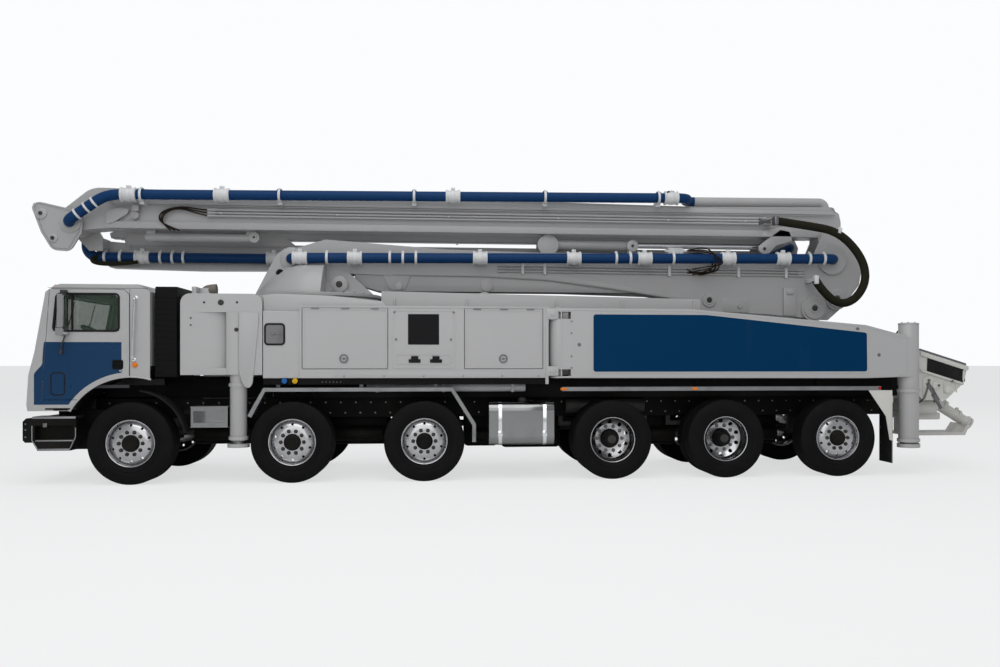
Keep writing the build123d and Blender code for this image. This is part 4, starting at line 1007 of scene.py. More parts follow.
def roof_trim():
    """Marker lamps along the front of the roof, and a hatch."""
    lamps = Form()
    for y in (-1.1, -0.32, 0, 0.32, 1.1):
        lamps.box((-6.00, y - 0.05, 2.452), (-5.93, y + 0.05, 2.484), 0.012)
    lamps.made("roof_lamps", "amber_lens")
    hatch = Form().box((-5.62, -0.35, 2.486), (-5.05, 0.35, 2.497), 0.005)
    hatch.box((-5.66, -0.39, 2.486), (-5.01, 0.39, 2.492), 0.003)
    hatch.made("roof_hatch", "cab_paint")


def bumper_trim(low, high):
    """Tread bars of the steps, bolts and the towing eyes."""
    inner, outer = 0.93, CAB_SIDE - 0.002
    treads = Form()
    treads.box((-6.235, inner, high.z - 0.085), (-5.722, outer, high.z - 0.058), 0.004)
    treads.box((-6.17, inner, 0.433), (-5.79, outer, 0.456), 0.004)
    treads.box((-6.2, 1.04, 0.545), (-5.755, outer, 0.562), 0.004)
    edges = (
        (-5.722, 0.715, -5.722, 0.6), (-5.722, 0.6, -5.79, 0.45),
        (-6.236, 0.74, -6.236, 0.56), (-6.236, 0.56, -6.172, 0.45),
    )
    for x, z, end_x, end_z in edges:
        treads.bar((x, outer, z), (end_x, outer, end_z), 0.008)
    treads.twin().made("cab_step_treads", "satin_aluminium")
    edge = CAB_SIDE - 0.01
    bolts = Form().bolts([(-6.315, edge, z) for z in (0.6, 0.69, 0.76)], "y", 0.012, 0.006)
    bolts.box((-6.11, edge, 0.72), (-6.06, edge + 0.012, 0.77), 0.005)
    bolts.bolts([(low.x, y, z) for y in (0.2, 0.5) for z in (0.6, 0.76)], "x", 0.014, -0.008)
    bolts.twin().made("bumper_bolts", "steel", slot="frame_black")
    loop = ((0.02, 0.57), (-0.05, 0.57), (-0.06, 0.52), (0.02, 0.5))
    eyes = Form().cable([(low.x + x, 0.36, z) for x, z in loop], 0.014, 8)
    eyes.twin().made("towing_eyes", "cast_iron")


class PUMP_OT_cab_front(bpy.types.Operator):
    """Build the grille, the headlamps, the roof lamps and the bumper's fittings."""

    bl_idname = "pump.cab_front"
    bl_label = "Cab front"

    def execute(self, context):
        nose_grille(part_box("cab_shell")[0].x, context.scene.pump_cab.slats)
        front_lamps(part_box("bumper")[0].x)
        roof_trim()
        bumper_trim(*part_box("bumper"))
        return {"FINISHED"}


def driving_wheel(centre, lean):
    """Rim, three spokes, boss, column and a stalk."""
    wheel = Form()
    ring = [lean @ point for point in circle((0, 0, 0), 0.225, 12, "z")]
    wheel.cable([centre + point for point in ring], 0.016, 8, closed=True)
    for spoke in circle((0, 0, 0), 0.205, 3, "z", math.pi / 2):
        wheel.bar(centre - lean @ Vector((0, 0, 0.02)), centre + lean @ spoke, 0.014, 0.011, 10)
    wheel.bar(centre - lean @ Vector((0, 0, 0.04)), centre + lean @ Vector((0, 0, 0.012)), 0.05, 0.04)
    wheel.bar((-5.9, -0.57, 1.6), centre - lean @ Vector((0, 0, 0.03)), 0.03, 0.024)
    wheel.bar((-5.84, -0.57, 1.7), (-5.86, -0.8, 1.76), 0.008)
    wheel.made("steering_wheel", "black_plastic_and_painted_shade")


def sprung_seat(hand, rounding):
    """A sprung seat: base, cushion, back and headrest."""
    edges = inner, outer = 0.335, 0.805
    base = Form(hand).box((-5.5, 0.36, 1.506), (-5.11, 0.6, 1.6), 0.015)
    for n in range(4):
        z = 1.6 + n * 0.034
        base.box((-5.47, 0.38, z), (-5.14, 0.7, z + 0.026), 0.012)
    base.made("seat_base", "black_plastic_and_painted_shade")
    cushion = Form(hand)
    for front, rear in ((-5.615, -5.42), (-5.415, -5.24), (-5.235, -5.085)):
        cushion.box((front, inner, 1.745), (rear, outer, 1.868), rounding)
    for edge in edges:
        cushion.box((-5.61, edge - 0.045, 1.748), (-5.09, edge + 0.045, 1.885), rounding * 0.8)
    cushion.made("seat_cushion", "seat_vinyl")
    back = Form(hand)
    for low, high in ((1.8, 1.97), (1.975, 2.13), (2.135, 2.28)):
        back.box((-0.055, inner, low), (0.055, outer, high), rounding)
    for edge in edges:
        back.box((-0.07, edge - 0.04, 1.82), (0.05, edge + 0.04, 2.26), rounding * 0.8)
    back.box((-0.045, 0.45, 2.3), (0.045, 0.69, 2.425), rounding)
    leaned(back, 1.8, 0.115)
    bmesh.ops.translate(back.mesh, verts=back.mesh.verts[:], vec=(-5.085, 0, 0))
    back.made("seat_back", "seat_vinyl")


class PUMP_OT_cab_interior(bpy.types.Operator):
    """Build the seats, the dashboard and the steering wheel, in place of the plain ones."""

    bl_idname = "pump.cab_interior"
    bl_label = "Cab interior"

    def execute(self, context):
        for hand in HANDS:
            sprung_seat(hand, context.scene.pump_cab.cushion)
        wall = CAB_SIDE - 0.052
        section = [(-6.185, 1.5), (-6.17, 1.66), (-6.12, 1.685), (-5.93, 1.715), (-5.86, 1.69), (-5.85, 1.6)]
        section += [(-5.9, 1.54), (-5.93, 1.5)]
        dash = Form().plate(section, -wall, wall)
        dash.box((-6.02, -0.86, 1.7), (-5.88, -0.3, 1.79), 0.02)
        dash.box((-5.95, -0.22, 1.5), (-5.83, 0.25, 1.67), 0.015)
        dash.box((-5.74, -0.56, 1.506), (-4.92, 0.56, 1.555), 0.02)
        dash.box((-5.98, -wall + 0.003, 1.2), (-5.1, -wall + 0.02, 1.24), 0.006)
        piece = dash.made("dashboard", "grey_trim")
        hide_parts("cab_interior")
        dials = Form()
        for y in (-0.72, -0.58, -0.44):
            dials.rod(y, 1.745, -5.884, -5.876, 0.042, sides=28)
        dials.made("dials", "screen_black")
        driving_wheel(Vector((-5.68, -0.57, 1.88)), Matrix.Rotation(math.radians(32), 4, "Y"))
        return {"FINISHED"}


# ---- engine intake and exhaust
class PUMP_OT_intake(bpy.types.Operator):
    """Build the ribs of the intake box, its cowl and the exhaust's end."""

    bl_idname = "pump.intake"
    bl_label = "Intake and exhaust"

    def execute(self, context):
        ribs = Form()
        for n in range(14):
            z = 1.4 + n * 0.072
            ribs.box((-4.782, -1.154, z), (-4.528, -1.148, z + 0.012), 0.002)
        for z in (1.37, 2.33):
            ribs.box((-4.795, -1.156, z), (-4.515, -0.375, z + 0.022), 0.006)
        duct = [(-4.655, -0.38, 2.2), (-4.655, -0.1, 2.22), (-4.655, 0.15, 2.1), (-4.66, 0.22, 1.8)]
        ribs.cable([*duct, (-4.68, 0.22, 1.45)], 0.095, 16)
        ribs.made("intake_ribs", "black_plastic_and_painted_shade", slot="engine_grey")
        hoops = Form()
        hoop = [(0.096, -0.012), (0.102, -0.012), (0.102, 0.012), (0.096, 0.012)]
        for z in (1.85, 2.05):
            hoops.turned(hoop, (-4.665, 0.22, z), "z", 32, closed=True)
        hoops.made("intake_clamps", "steel")
        bend = ((-4.25, 2.3), (-4.25, 2.42), (-4.235, 2.455), (-4.12, 2.462))
        Form().cable([(x, -0.8, z) for x, z in bend], 0.072, 18).made("exhaust_outlet", "exhaust_iron")
        post = Form().box((-4.41, -0.9, 2.3), (-4.35, -0.7, 2.492), 0.008)
        post.box((-4.36, -0.84, 2.37), (-4.3, -0.76, 2.41), 0.006)
        post.made("exhaust_bracket", "body_paint", slot="outrigger_white")
        return {"FINISHED"}


# ---- body sides
class BodySettings(bpy.types.PropertyGroup):
    """Fittings of the body's sides."""

    edge: length("Panel edge", "Width of the panels' rims", 0.02)
    proud: length("Panel relief", "How far the rims stand out", 0.004)


def panel_rims(hand, face, out, edge):
    """The frame round the recess, the sill's flange and the strip under the roof."""
    rims = Form(hand)
    back = face - 0.002
    rims.border(box_outline(-1.848, -1.048, 1.443, 2.192), edge, back, out, corner=0.03, bevel=0.001)
    rims.border(box_outline(-1.799, -1.105, 1.496, 1.627), 0.014, back, out, corner=0.02, bevel=0.001)
    flange = [(-2.523, 1.322), (0.102, 1.322), (0.102, 1.404), (-2.572, 1.404), (-2.572, 1.36)]
    rims.plate(flange, face - 0.01, face + 0.006, bevel=0.002)
    rims.box((-2.98, back, 2.212), (0.09, face + 0.006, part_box("toolboxes")[1].z + 0.002), 0.002)
    rims.made("body_rims", "body_paint")


def toolbox_door(hand, place, latch_x, face, out, edge):
    """A toolbox door's rim, latch and hinges."""
    door = f"toolbox_door_{place}_{hand}"
    low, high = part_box(door)
    around = box_outline(low.x + 0.004, high.x - 0.004, low.z + 0.004, high.z - 0.004)
    rim = Form(hand).border(around, edge, face, out, corner=0.03, bevel=0.001)
    rim.made(f"door_rim_{place}", "body_paint", door)
    ring = [(0.038, 0), (0.058, 0), (0.056, 0.01), (0.042, 0.01)]
    latch = Form(hand).turned(ring, (latch_x, face, 1.567), "y", 32, closed=True)
    latch.stud(latch_x, 1.567, face, face + 0.012, 0.016, bevel=0.003)
    latch.box((latch_x - 0.036, face, 1.563), (latch_x + 0.036, face + 0.008, 1.571), 0.002)
    latch.made(f"door_latch_{place}", "steel", door)
    hinges = Form(hand)
    for x in (low.x + 0.16, (low.x + high.x) / 2, high.x - 0.16):
        hinges.rod(face + 0.006, high.z - 0.004, x - 0.05, x + 0.05, 0.008, sides=12)
    hinges.made(f"door_hinges_{place}", "steel", slot="body_white")


def side_windows(hand, face):
    """Dark windows with rubber rims, the recess with its grips, and knobs."""
    pane = box_outline(-1.649, -1.256, 1.746, 2.135)
    dark = Form(hand).plate(pane, face - 0.002, face + 0.003, corner=0.006)
    dark.made("dark_windows", "screen_black")
    rims = Form(hand)
    pane = box_outline(-3.441, -3.181, 1.734, 2.014)
    rims.border(pane, 0.024, face - 0.017, face - 0.007, corner=0.05, bevel=0.002)
    for x in (-1.64, -1.37):
        rims.box((x, face, 1.515), (x + 0.15, face + 0.011, 1.56), 0.006)
        rims.box((x + 0.03, face, 1.55), (x + 0.12, face + 0.016, 1.6), 0.008)
    rims.made("window_rims", "seal_rubber")
    knobs = Form(hand)
    for x, z in ((-1.799, 1.813), (-1.103, 1.813), (-1.07, 2.16), (-1.82, 2.16)):
        knobs.stud(x, z, face, face + 0.012, 0.014, bevel=0.003)
    knobs.plate(box_outline(-3.425, -3.197, 1.75, 1.998), face - 0.017, face - 0.011, corner=0.04)
    knobs.stud(-3.33, 1.88, face - 0.012, face + 0.004, 0.022, bevel=0.003)
    knobs.box((-3.33, face - 0.012, 1.872), (-3.22, face - 0.004, 1.888), 0.003)
    knobs.bolts([(x, face, 1.345) for x in (-2.45, -1.95, -1.45, -0.95, -0.45, 0.02)], "y", 0.01, 0.01)
    knobs.made("panel_knobs", "steel")


def service_parts(hand, face):
    """The water pipe, the service valves and two coloured couplings under the panels."""
    pipe = Form(hand).rod(1.0, 1.195, -2.19, -0.13, 0.055, bevel=0.01)
    for x in (-2.05, -1.2, -0.3):
        pipe.box((x - 0.02, 0.935, 1.135), (x + 0.02, 1.065, 1.242), 0.006)
    pipe.made("water_pipe", "pump_paint_grey")
    valves = Form(hand)
    y = face - 0.04
    for n in range(6):
        x = -2.72 + n * 0.045
        valves.bar((x, y, 1.3), (x, y, 1.385), 0.014, sides=8)
        valves.bar((x, y, 1.29), (x, y + 0.03, 1.27), 0.008, sides=8)
    valves.box((-2.76, face - 0.09, 1.32), (-2.46, face - 0.02, 1.36), 0.006)
    valves.made("service_valves", "steel")
    for color, x in (("blue", -3.19), ("yellow", -3.06)):
        knob = Form(hand).box((x - 0.05, face - 0.08, 1.24), (x + 0.05, face - 0.02, 1.33), 0.008)
        knob.stud(x, 1.285, face - 0.03, face + 0.008, 0.034, sides=24, bevel=0.006)
        knob.stud(x, 1.285, face - 0.02, face + 0.014, 0.014, sides=20, bevel=0.003)
        knob.made(f"coupling_{color}", f"fitting_{color}")


class PUMP_OT_body_panels(bpy.types.Operator):
    """Build the rims of the doors and panels, the windows and the recesses."""

    bl_idname = "pump.body_panels"
    bl_label = "Body panels"

    def execute(self, context):
        edge = context.scene.pump_body.edge
        out = HALF_WIDTH + context.scene.pump_body.proud
        for hand in HANDS:
            toolbox_door(hand, "front", -2.454, HALF_WIDTH, out, edge)
            toolbox_door(hand, "rear", -0.435, HALF_WIDTH, out, edge)
            panel_rims(hand, HALF_WIDTH, out, edge)
            side_windows(hand, HALF_WIDTH)
            service_parts(hand, HALF_WIDTH)
        return {"FINISHED"}


def front_outrigger(hand, face):
    """Front outrigger: lifting holes, the curved recess, the jack's tube and the end plate."""
    cap = [(0, 0), (0.036, 0), (0.036, 0.006), (0.026, 0.01), (0, 0.01)]
    discs = Form(hand).turned(cap, (-3.966, face, 2.269), "y", 28)
    for x, z in ((-4.169, 2.268), (-3.769, 2.271)):
        discs.stud(x, z, face, face + 0.004, 0.014, bevel=0.001)
    for z in (2.073, 1.986):
        discs.stud(-4.33, z, face, face + 0.005, 0.011, bevel=0.001)
    discs.stud(-3.775, 1.929, face, face + 0.0165, 0.026)
    discs.made("front_outrigger_holes", "cast_iron", "front_beam_")
    curve = Form(hand)
    steps = [math.pi / 24 * n for n in range(13)]
    arc = [(-4.352 + 0.45 * math.sin(t), face - 0.104 * (1 - math.cos(t))) for t in steps]
    curve.plate([*arc, (-3.902, face - 0.107), (-4.352, face - 0.107)], 1.448, 2.149, "z")
    tube = [(-3.823 - 0.079 * math.cos(2 * t), face + 0.016 * math.sin(2 * t)) for t in steps]
    curve.plate([*tube, (-3.744, face - 0.002), (-3.902, face - 0.002)], 1.366, 2.147, "z")
    end = [(-3.744, 2.147), (-3.744, 1.42), (-3.705, 1.27), (-3.665, 1.205), (-3.615, 1.2), (-3.58, 1.25)]
    end += [(-3.565, 1.4), (-3.505, 2.02), (-3.505, 2.147)]
    curve.plate(end, face - 0.01, face + 0.018, corner=0.02, bevel=0.003)
    curve.made("front_outrigger_side", "body_paint", "front_beam_", "outrigger_white")


def rear_outrigger(hand, face):
    """Rear outrigger: blue panel with a light border, hinge knuckles and lifting holes."""
    back = face - 0.002
    outline = [(0.736, 1.398), (4.436, 1.399), (4.431, 1.918), (2.232, 2.142), (0.736, 2.142)]
    blue = Form(hand).plate(outline, back, face + 0.0025, corner=0.035)
    blue.made("rear_arm_panel", "panel_blue_paint", "rear_arm_")
    around = [(0.716, 1.378), (4.456, 1.379), (4.45, 1.934), (2.236, 2.163), (0.716, 2.163)]
    rim = Form(hand).border(around, 0.02, back, face + 0.005, corner=0.045, bevel=0.001)
    around = [(0.31, 1.326), (4.72, 1.322), (5.00, 1.345), (5.00, 1.845), (4.43, 2.004), (2.016, 2.204)]
    rim.border([*around, (0.31, 2.206)], 0.016, back, face + 0.003, corner=0.02, bevel=0.001)
    rim.made("rear_arm_rim", "body_paint", "rear_arm_", "outrigger_white")
    hinge = Form(hand)
    for low, high in ((2.076, 2.219), (1.345, 1.47)):
        hinge.box((0.127, face - 0.02, low), (0.282, face + 0.008, high), 0.012)
        hinge.stud(0.205, (low + high) / 2, face, face + 0.02, 0.03, bevel=0.005)
    hinge.bar((0.297, face - 0.125, 2.221), (0.297, face - 0.125, 2.237), 0.06, bevel=0.004)
    hinge.made("rear_arm_hinge", "body_paint")
    eyes = Form(hand)
    for x, z in ((4.3, 1.965), (4.6, 1.62), (0.55, 1.75)):
        eyes.stud(x, z, face, face + 0.004, 0.024, bevel=0.002)
    eyes.bolts([(0.45, face, z) for z in (1.45, 1.6, 1.9, 2.05)], "y", 0.012, 0.008)
    eyes.made("rear_arm_bolts", "steel", "rear_arm_")


def jack_parts(hand, body, name, base, radius, top):
    """Collars, foot plate and hose of a jack."""
    x, y, bottom = base
    inner, outer = radius - 0.004, radius + min(0.016, HALF_WIDTH + 0.014 - y - radius)
    collars = Form(hand)
    for z in (bottom + 0.03, bottom + 0.7):
        profile = [(inner, -0.02), (outer, -0.02), (outer, 0.02), (inner, 0.02)]
        collars.turned(profile, (x, y, z), "z", 40, closed=True)
    lid = [(0, 0), (radius + 0.004, 0), (radius + 0.004, 0.012), (radius - 0.02, 0.02), (0, 0.02)]
    collars.turned(lid, (x, y, top), "z", 40)
    collars.bolts(circle((x, y, top + 0.018), radius * 0.7, 6, "z"), "z", 0.009, 0.012, 0)
    collars.made(f"jack_collars_{name}", "body_paint", body, "jack_white")
    foot = Form(hand)
    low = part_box(f"{name}_{hand}")[0].z
    foot.bolts(circle((x, y, low + 0.046), radius * 0.9 + 0.02, 8, "z"), "z", 0.009, 0.012, 0)
    cup = [(radius * 0.75, 0.045), (radius * 0.9, 0.045), (radius * 0.8, 0.08), (radius * 0.72, 0.08)]
    foot.turned(cup, (x, y, low), "z", 36, closed=True)
    foot.made(f"jack_foot_{name}", "steel", f"{name}_", "jack_white")
    near = y - radius
    route = [(x + 0.05, near, top - 0.05), (x + 0.07, near - 0.05, top - 0.02)]
    route += [(x - 0.1, near - 0.06, top - 0.1), (x - 0.16, near - 0.02, top - 0.3)]
    Form(hand).cable(route, 0.011).made(f"jack_hose_{name}", "thin_hose", body)


class PUMP_OT_outriggers(bpy.types.Operator):
    """Build the fittings of the front and rear outriggers."""

    bl_idname = "pump.outriggers"
    bl_label = "Outriggers"

    def execute(self, context):
        for hand in HANDS:
            front_outrigger(hand, HALF_WIDTH - 0.005)
            rear_outrigger(hand, HALF_WIDTH)
            jack_parts(hand, "front_beam_", "front_jack", Vector((-3.775, 1.13, 0.537)), 0.104, 2.162)
            jack_parts(hand, "rear_arm_", "rear_jack", Vector((5.082, 1.115, 0.437)), 0.133, 2.036)
        return {"FINISHED"}


# start, end, low, high and half width of each tank or box between the frame rails
DRIVELINE = (
    (-4.55, -3.65, 0.42, 1.02, 0.3), (-2.72, -1.95, 0.4, 0.98, 0.28), (-0.92, -0.45, 0.36, 0.96, 0.26),
    (-0.4, 0.42, 0.34, 1.0, 0.3), (1.46, 2.08, 0.36, 0.96, 0.24), (2.98, 3.56, 0.36, 0.96, 0.24),
    (4.48, 4.86, 0.4, 0.96, 0.24),
)


def frame_shade_sheets_and_tanks():
    """Dark sheets inside the frame as painted shade for the gap under the deck, with their ribs, and the
    tanks and boxes between the wheels.
    """
    # painted shade: these thin black sheets stand for the shade in the gap between the deck and the frame
    # rails
    core = Form().box((-3.4, 0.8, 1.055), (5.08, 0.806, 1.33), 0.002)
    for x in (-2.9, -1.2, 0.5, 2.2, 3.9):
        core.box((x, 0.806, 1.06), (x + 0.05, 0.83, 1.32), 0.004)
    core.box((-4.85, 0.45, 1.045), (-3.47, 0.456, 1.33), 0.002)
    for start, end, low, _, half in DRIVELINE:
        core.rod(half + 0.11, low + 0.16, start + 0.06, end - 0.06, 0.1, bevel=0.03)
    core.twin()
    for start, end, low, high, half in DRIVELINE:
        core.box((start, -half, low), (end, half, high), 0.05)
    core.made("driveline", "frame_black_and_painted_shade")


def tank_trim(hand, y, z):
    """Straps with their bolts, the filler cap and the step box's lid."""
    straps = Form(hand)
    for x in (-0.472, 0.104):
        around = box_outline(y - 0.314, y + 0.314, z - 0.2825, z + 0.2825)
        straps.border(around, 0.005, x - 0.022, x + 0.022, "x", 0.112)
        straps.box((x - 0.03, 1.228, 0.56), (x + 0.03, 1.242, 0.64), 0.004)
    straps.made("tank_straps", "chrome", slot="tank_aluminium")
    cap = Form(hand).bar((-0.172, 1.0, 1.0), (-0.172, 1.0, 1.05), 0.055, bevel=0.006)
    cap.bar((-0.172, 1.0, 1.04), (-0.172, 1.0, 1.062), 0.042, 0.036, bevel=0.004)
    cap.cable([(-0.12, 1.0, 1.02), (-0.06, 1.0, 1.03), (-0.02, 1.02, 1.01)], 0.004)
    cap.made("tank_cap", "cast_iron")
    step = Form(hand)
    for low in (0.958, 0.703):
        step.box((-4.352, 0.88, low), (-3.888, 1.194, low + 0.01), 0.002)
    step.border(box_outline(-4.345, -3.895, 0.709, 0.962), 0.028, 1.186, 1.194, bevel=0.001)
    step.made("step_plates", "chequer_aluminium")


def side_rail(hand, outer):
    """Side lamps on the rail, the flap's bracket and a reflector."""
    amber = Form(hand)
    for x in (0.348, 2.086):
        amber.box((x - 0.04, outer - 0.002, 1.158), (x + 0.04, outer + 0.012, 1.192), 0.006)
    amber.made("side_lamps", "amber_lens")
    red = Form(hand).box((4.6, outer - 0.002, 1.158), (4.636, outer + 0.012, 1.192), 0.006)
    red.box((4.786, 0.98, 1.05), (4.8, 1.14, 1.11), 0.004)
    red.made("rear_side_lamp", "red_lens")
    flap = Form(hand).box((4.768, 0.85, 0.985), (4.806, 1.24, 1.01), 0.004)
    flap.box((4.786, 0.86, 0.98), (4.806, 1.235, 1.065), 0.003)
    wedge = [(4.46, 1.146), (4.79, 1.146), (4.79, 0.47), (4.755, 0.48), (4.7, 0.8)]
    flap.plate(wedge, 1.232, 1.243, bevel=0.002)
    flap.bolts([(4.786, y, 1.03) for y in (0.92, 1.05, 1.18)], "x", 0.01, -0.008)
    flap.made("flap_bracket", "hopper_paint")
    sheet = Form(hand).box((4.788, 0.862, 0.168), (4.8035, 1.228, 0.985), 0.002)
    sheet.made("mud_flap", "flap_rubber")


def drive_line():
    """Drive shafts, air tanks and brake chambers."""
    shafts = Form()
    for y in (-0.55, 0.55):
        shafts.rod(y, 0.93, 0.45, 1.55, 0.1, sides=32, bevel=0.02)
        side = math.copysign(1, y)
        for x in (-3.099, -1.443, 0.997, 2.509, 4.043):
            chamber = (x + 0.1, side * 0.56, 0.6), (x + 0.24, side * 0.56, 0.66)
            shafts.bar(*chamber, 0.075, sides=24, bevel=0.01)
            shafts.bar((x + 0.02, side * 0.6, 0.56), (x + 0.12, side * 0.56, 0.61), 0.018, sides=12)
    line = [(-4.75, 0.78), (-3.1, 0.72), (-1.3, 0.68), (0.8, 0.6)]
    for (start, z), (end, end_z) in zip(line, line[1:]):
        shafts.bar((start + 0.05, 0, z), (end - 0.05, 0, end_z), 0.045, sides=24)
        joint = (end - 0.07, 0, end_z + 0.002), (end + 0.05, 0, end_z - 0.002)
        shafts.bar(*joint, 0.07, sides=8, bevel=0.006)
    shafts.bar((1.22, 0, 0.58), (2.32, 0, 0.56), 0.045, sides=24)
    shafts.made("shafts_and_air_tanks", "cast_iron")


def rail_bolts(low, high):
    """Two staggered rows of bolt heads along both rails."""
    bolts = Form()
    for n in range(56):
        for shift, z in ((0.15, 0.98), (0.21, 0.84)):
            bolts.stud(low.x + shift + n * 0.2, z, high.y, high.y + 0.008, 0.012, sides=6)
    bolts.twin().made("frame_bolts", "steel", slot="frame_black")


class PUMP_OT_underbody(bpy.types.Operator):
    """Build the tank's straps, the side lamps, the flap, the dark sheets of painted shade inside the frame
    and what hangs under it.
    """

    bl_idname = "pump.underbody"
    bl_label = "Underbody"

    def execute(self, context):
        for hand in HANDS:
            tank_trim(hand, 0.92, 0.73)
            side_rail(hand, 1.2352)
        drive_line()
        rail_bolts(*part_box("chassis_frame"))
        frame_shade_sheets_and_tanks()
        return {"FINISHED"}


# ---- boom
class BoomSettings(bpy.types.PropertyGroup):
    """Fittings of the boom."""

    band: length("Band width", "Width of the narrow pipe bands", 0.034)
    tube: length("Tube radius", "Radius of the hydraulic tubes", 0.015)


def on_line(start, end, x):
    """The height at x of the line through two (x, z) points."""
    return start[1] + (x - start[0]) * (end[1] - start[1]) / (end[0] - start[0])


def coupling(form, x, y, z):
    """A hinged coupling over two pipe flanges, with its bolt on top."""
    form.rod(y, z, x - 0.1, x + 0.1, 0.087, sides=36, bevel=0.006)
    for shift in (-0.085, 0.085):
        form.rod(y, z, x + shift - 0.014, x + shift + 0.014, 0.097, sides=36, bevel=0.005)
    form.rod(y, z, x - 0.03, x + 0.03, 0.094, sides=36, bevel=0.006)
    form.box((x - 0.028, y - 0.03, z + 0.075), (x + 0.028, y + 0.03, min(z + 0.122, 3.925)), 0.006)
    form.stud(x, z + 0.098, y - 0.045, y + 0.045, 0.009, sides=10)


class PUMP_OT_pipe_clamps(bpy.types.Operator):
    """Build the couplings and bands of the delivery pipes."""

    bl_idname = "pump.pipe_clamps"
    bl_label = "Pipe clamps"

    def execute(self, context):
        half = context.scene.pump_boom.band / 2
        for name, (body, side, start, end, couplings, bands) in PIPE_RUNS.items():
            form = Form()
            for x in couplings:
                coupling(form, x, side, on_line(start, end, x))
            for x in bands:
                z = on_line(start, end, x)
                form.rod(side, z, x - half, x + half, 0.0885, sides=32, bevel=0.004)
                form.box((x - half, side - 0.012, z + 0.07), (x + half, side + 0.012, z + 0.102), 0.003)
            if name == "pipe_2":
                for x in (-6.02, -5.9, -5.8):
                    z = on_line(PIN_C, start, x)
                    ends = (x - 0.012, side, z - 0.0086), (x + 0.012, side, z + 0.0086)
                    form.bar(*ends, 0.084, sides=32, bevel=0.004)
            form.made(f"clamps_{name}", "clamp_white", body)
        valve = Form().box((1.93, PIPE_SIDE - 0.03, 3.898), (2.02, PIPE_SIDE + 0.03, 3.926), 0.008)
        valve.bar((1.9, PIPE_SIDE - 0.05, 3.895), (2.1, PIPE_SIDE + 0.05, 3.905), 0.018, bevel=0.004)
        valve.made("pipe_valve", "black_plastic_and_painted_shade", "boom_2", "frame_black")
        return {"FINISHED"}


def boom_tubes(hand, body, left, right, heights, clamps, slope, radius):
    """Hydraulic tubes in their clamps along a section."""
    tubes, holders = Form(hand), Form(hand)
    y = BOOM_SIDE + radius + 0.001
    for z in heights:
        tubes.bar((left, y, z), (right, y, z + slope * (right - left)), radius, sides=12)
        for x in (left, right):
            tubes.rod(y, z + slope * (x - left), x - 0.05, x + 0.05, radius + 0.006, sides=6)
    tubes.made(f"tubes_{body}", "boom_paint", body)
    out = BOOM_SIDE + 2 * radius + 0.008
    for x in clamps:
        low, high = (z + slope * (x - left) for z in (heights[-1], heights[0]))
        holders.box((x - 0.02, BOOM_SIDE, low - 0.035), (x + 0.02, out, high + 0.035), 0.004)
        holders.bolts([(x, out, high + 0.027)], "y", 0.008, 0.006)
    holders.made(f"tube_clamps_{body}", "clamp_white", body)


def seams_of_2(hand, y):
    """Flange edges, doubler plates, lever and link on section 2."""
    form = Form(hand).box((-5.72, y - 0.002, 3.326), (4.15, y + 0.006, 3.416), 0.002)
    form.box((-5.6, y - 0.002, 3.634), (4.42, y + 0.004, 3.642), 0.001)
    flange = [(-5.7, 3.74), (-5.6, 3.8), (4.4, 3.7), (4.45, 3.655), (-5.6, 3.655)]
    form.plate(flange, y - 0.002, y + 0.004, bevel=0.001)
    doubler = [(3.35, 3.33), (4.18, 3.33), (4.2, 3.44), (3.78, 3.5), (3.4, 3.42)]
    form.plate(doubler, y, y + 0.012, corner=0.03, bevel=0.002)
    lever = [(3.3, 3.19), (3.31, 3.11), (3.37, 3.075), (3.45, 3.085), (3.56, 3.2), (3.8, 3.27), (3.76, 3.4)]
    form.plate([*lever, (3.62, 3.43)], y - 0.03, y + 0.012, corner=0.02, bevel=0.003)
    link = [(-5.7, 3.37), (-5.6, 3.4), (-5.42, 3.52), (-5.4, 3.58), (-5.52, 3.6), (-5.7, 3.55)]
    form.plate(link, y, y + 0.022, corner=0.03, bevel=0.004)
    form.made("seams_boom_2", "boom_paint", "boom_2")


def seams_of_1(hand, y):
    """Welded strip, doublers, hanging webs and bosses on section 1."""
    form = Form(hand)
    strip = [(-1.9, 2.73), (-0.6, 2.722), (0.3, 2.676), (1.14, 2.568), (2.2, 2.408), (2.26, 2.36)]
    strip += [(2.26, 2.3), (2.3, 2.27), (2.2, 2.46), (1.14, 2.62), (0.3, 2.74), (-1.9, 2.775)]
    form.plate(strip, y - 0.002, y + 0.006, bevel=0.001)
    doubler = [(2.761, 2.244), (3.168, 2.232), (3.168, 2.446), (2.761, 2.446)]
    form.plate(doubler, y, y + 0.006, corner=0.02, bevel=0.002)
    form.box((3.66, y, 2.19), (3.84, y + 0.04, 2.59), 0.006)
    web = [(-2.42, 2.9), (2.25, 2.62), (2.25, 2.52), (2.05, 2.505), (-2.1, 2.505), (-2.42, 2.6)]
    form.plate(web, 0.16, 0.172, bevel=0.002)
    eye = [(-2.13, 2.9), (-1.62, 2.86), (-1.7, 2.6), (-1.74, 2.53), (-1.86, 2.505), (-1.95, 2.54)]
    form.plate(eye, 0.172, 0.19, corner=0.02, bevel=0.003)
    form.stud(-1.822, 2.575, 0.188, 0.204, 0.055, sides=28, bevel=0.004)
    form.stud(-0.6, 2.6, 0.172, 0.19, 0.09, sides=32, bevel=0.004)
    form.box((3.7, y, 2.5), (3.8, y + 0.06, 2.56), 0.006)
    for x, radius in ((0.27, 0.15), (1.48, 0.085)):
        form.stud(x, 3.18, 0, 0.13, radius, sides=36, bevel=0.01)
    form.made("seams_boom_1", "boom_paint", "boom_1")


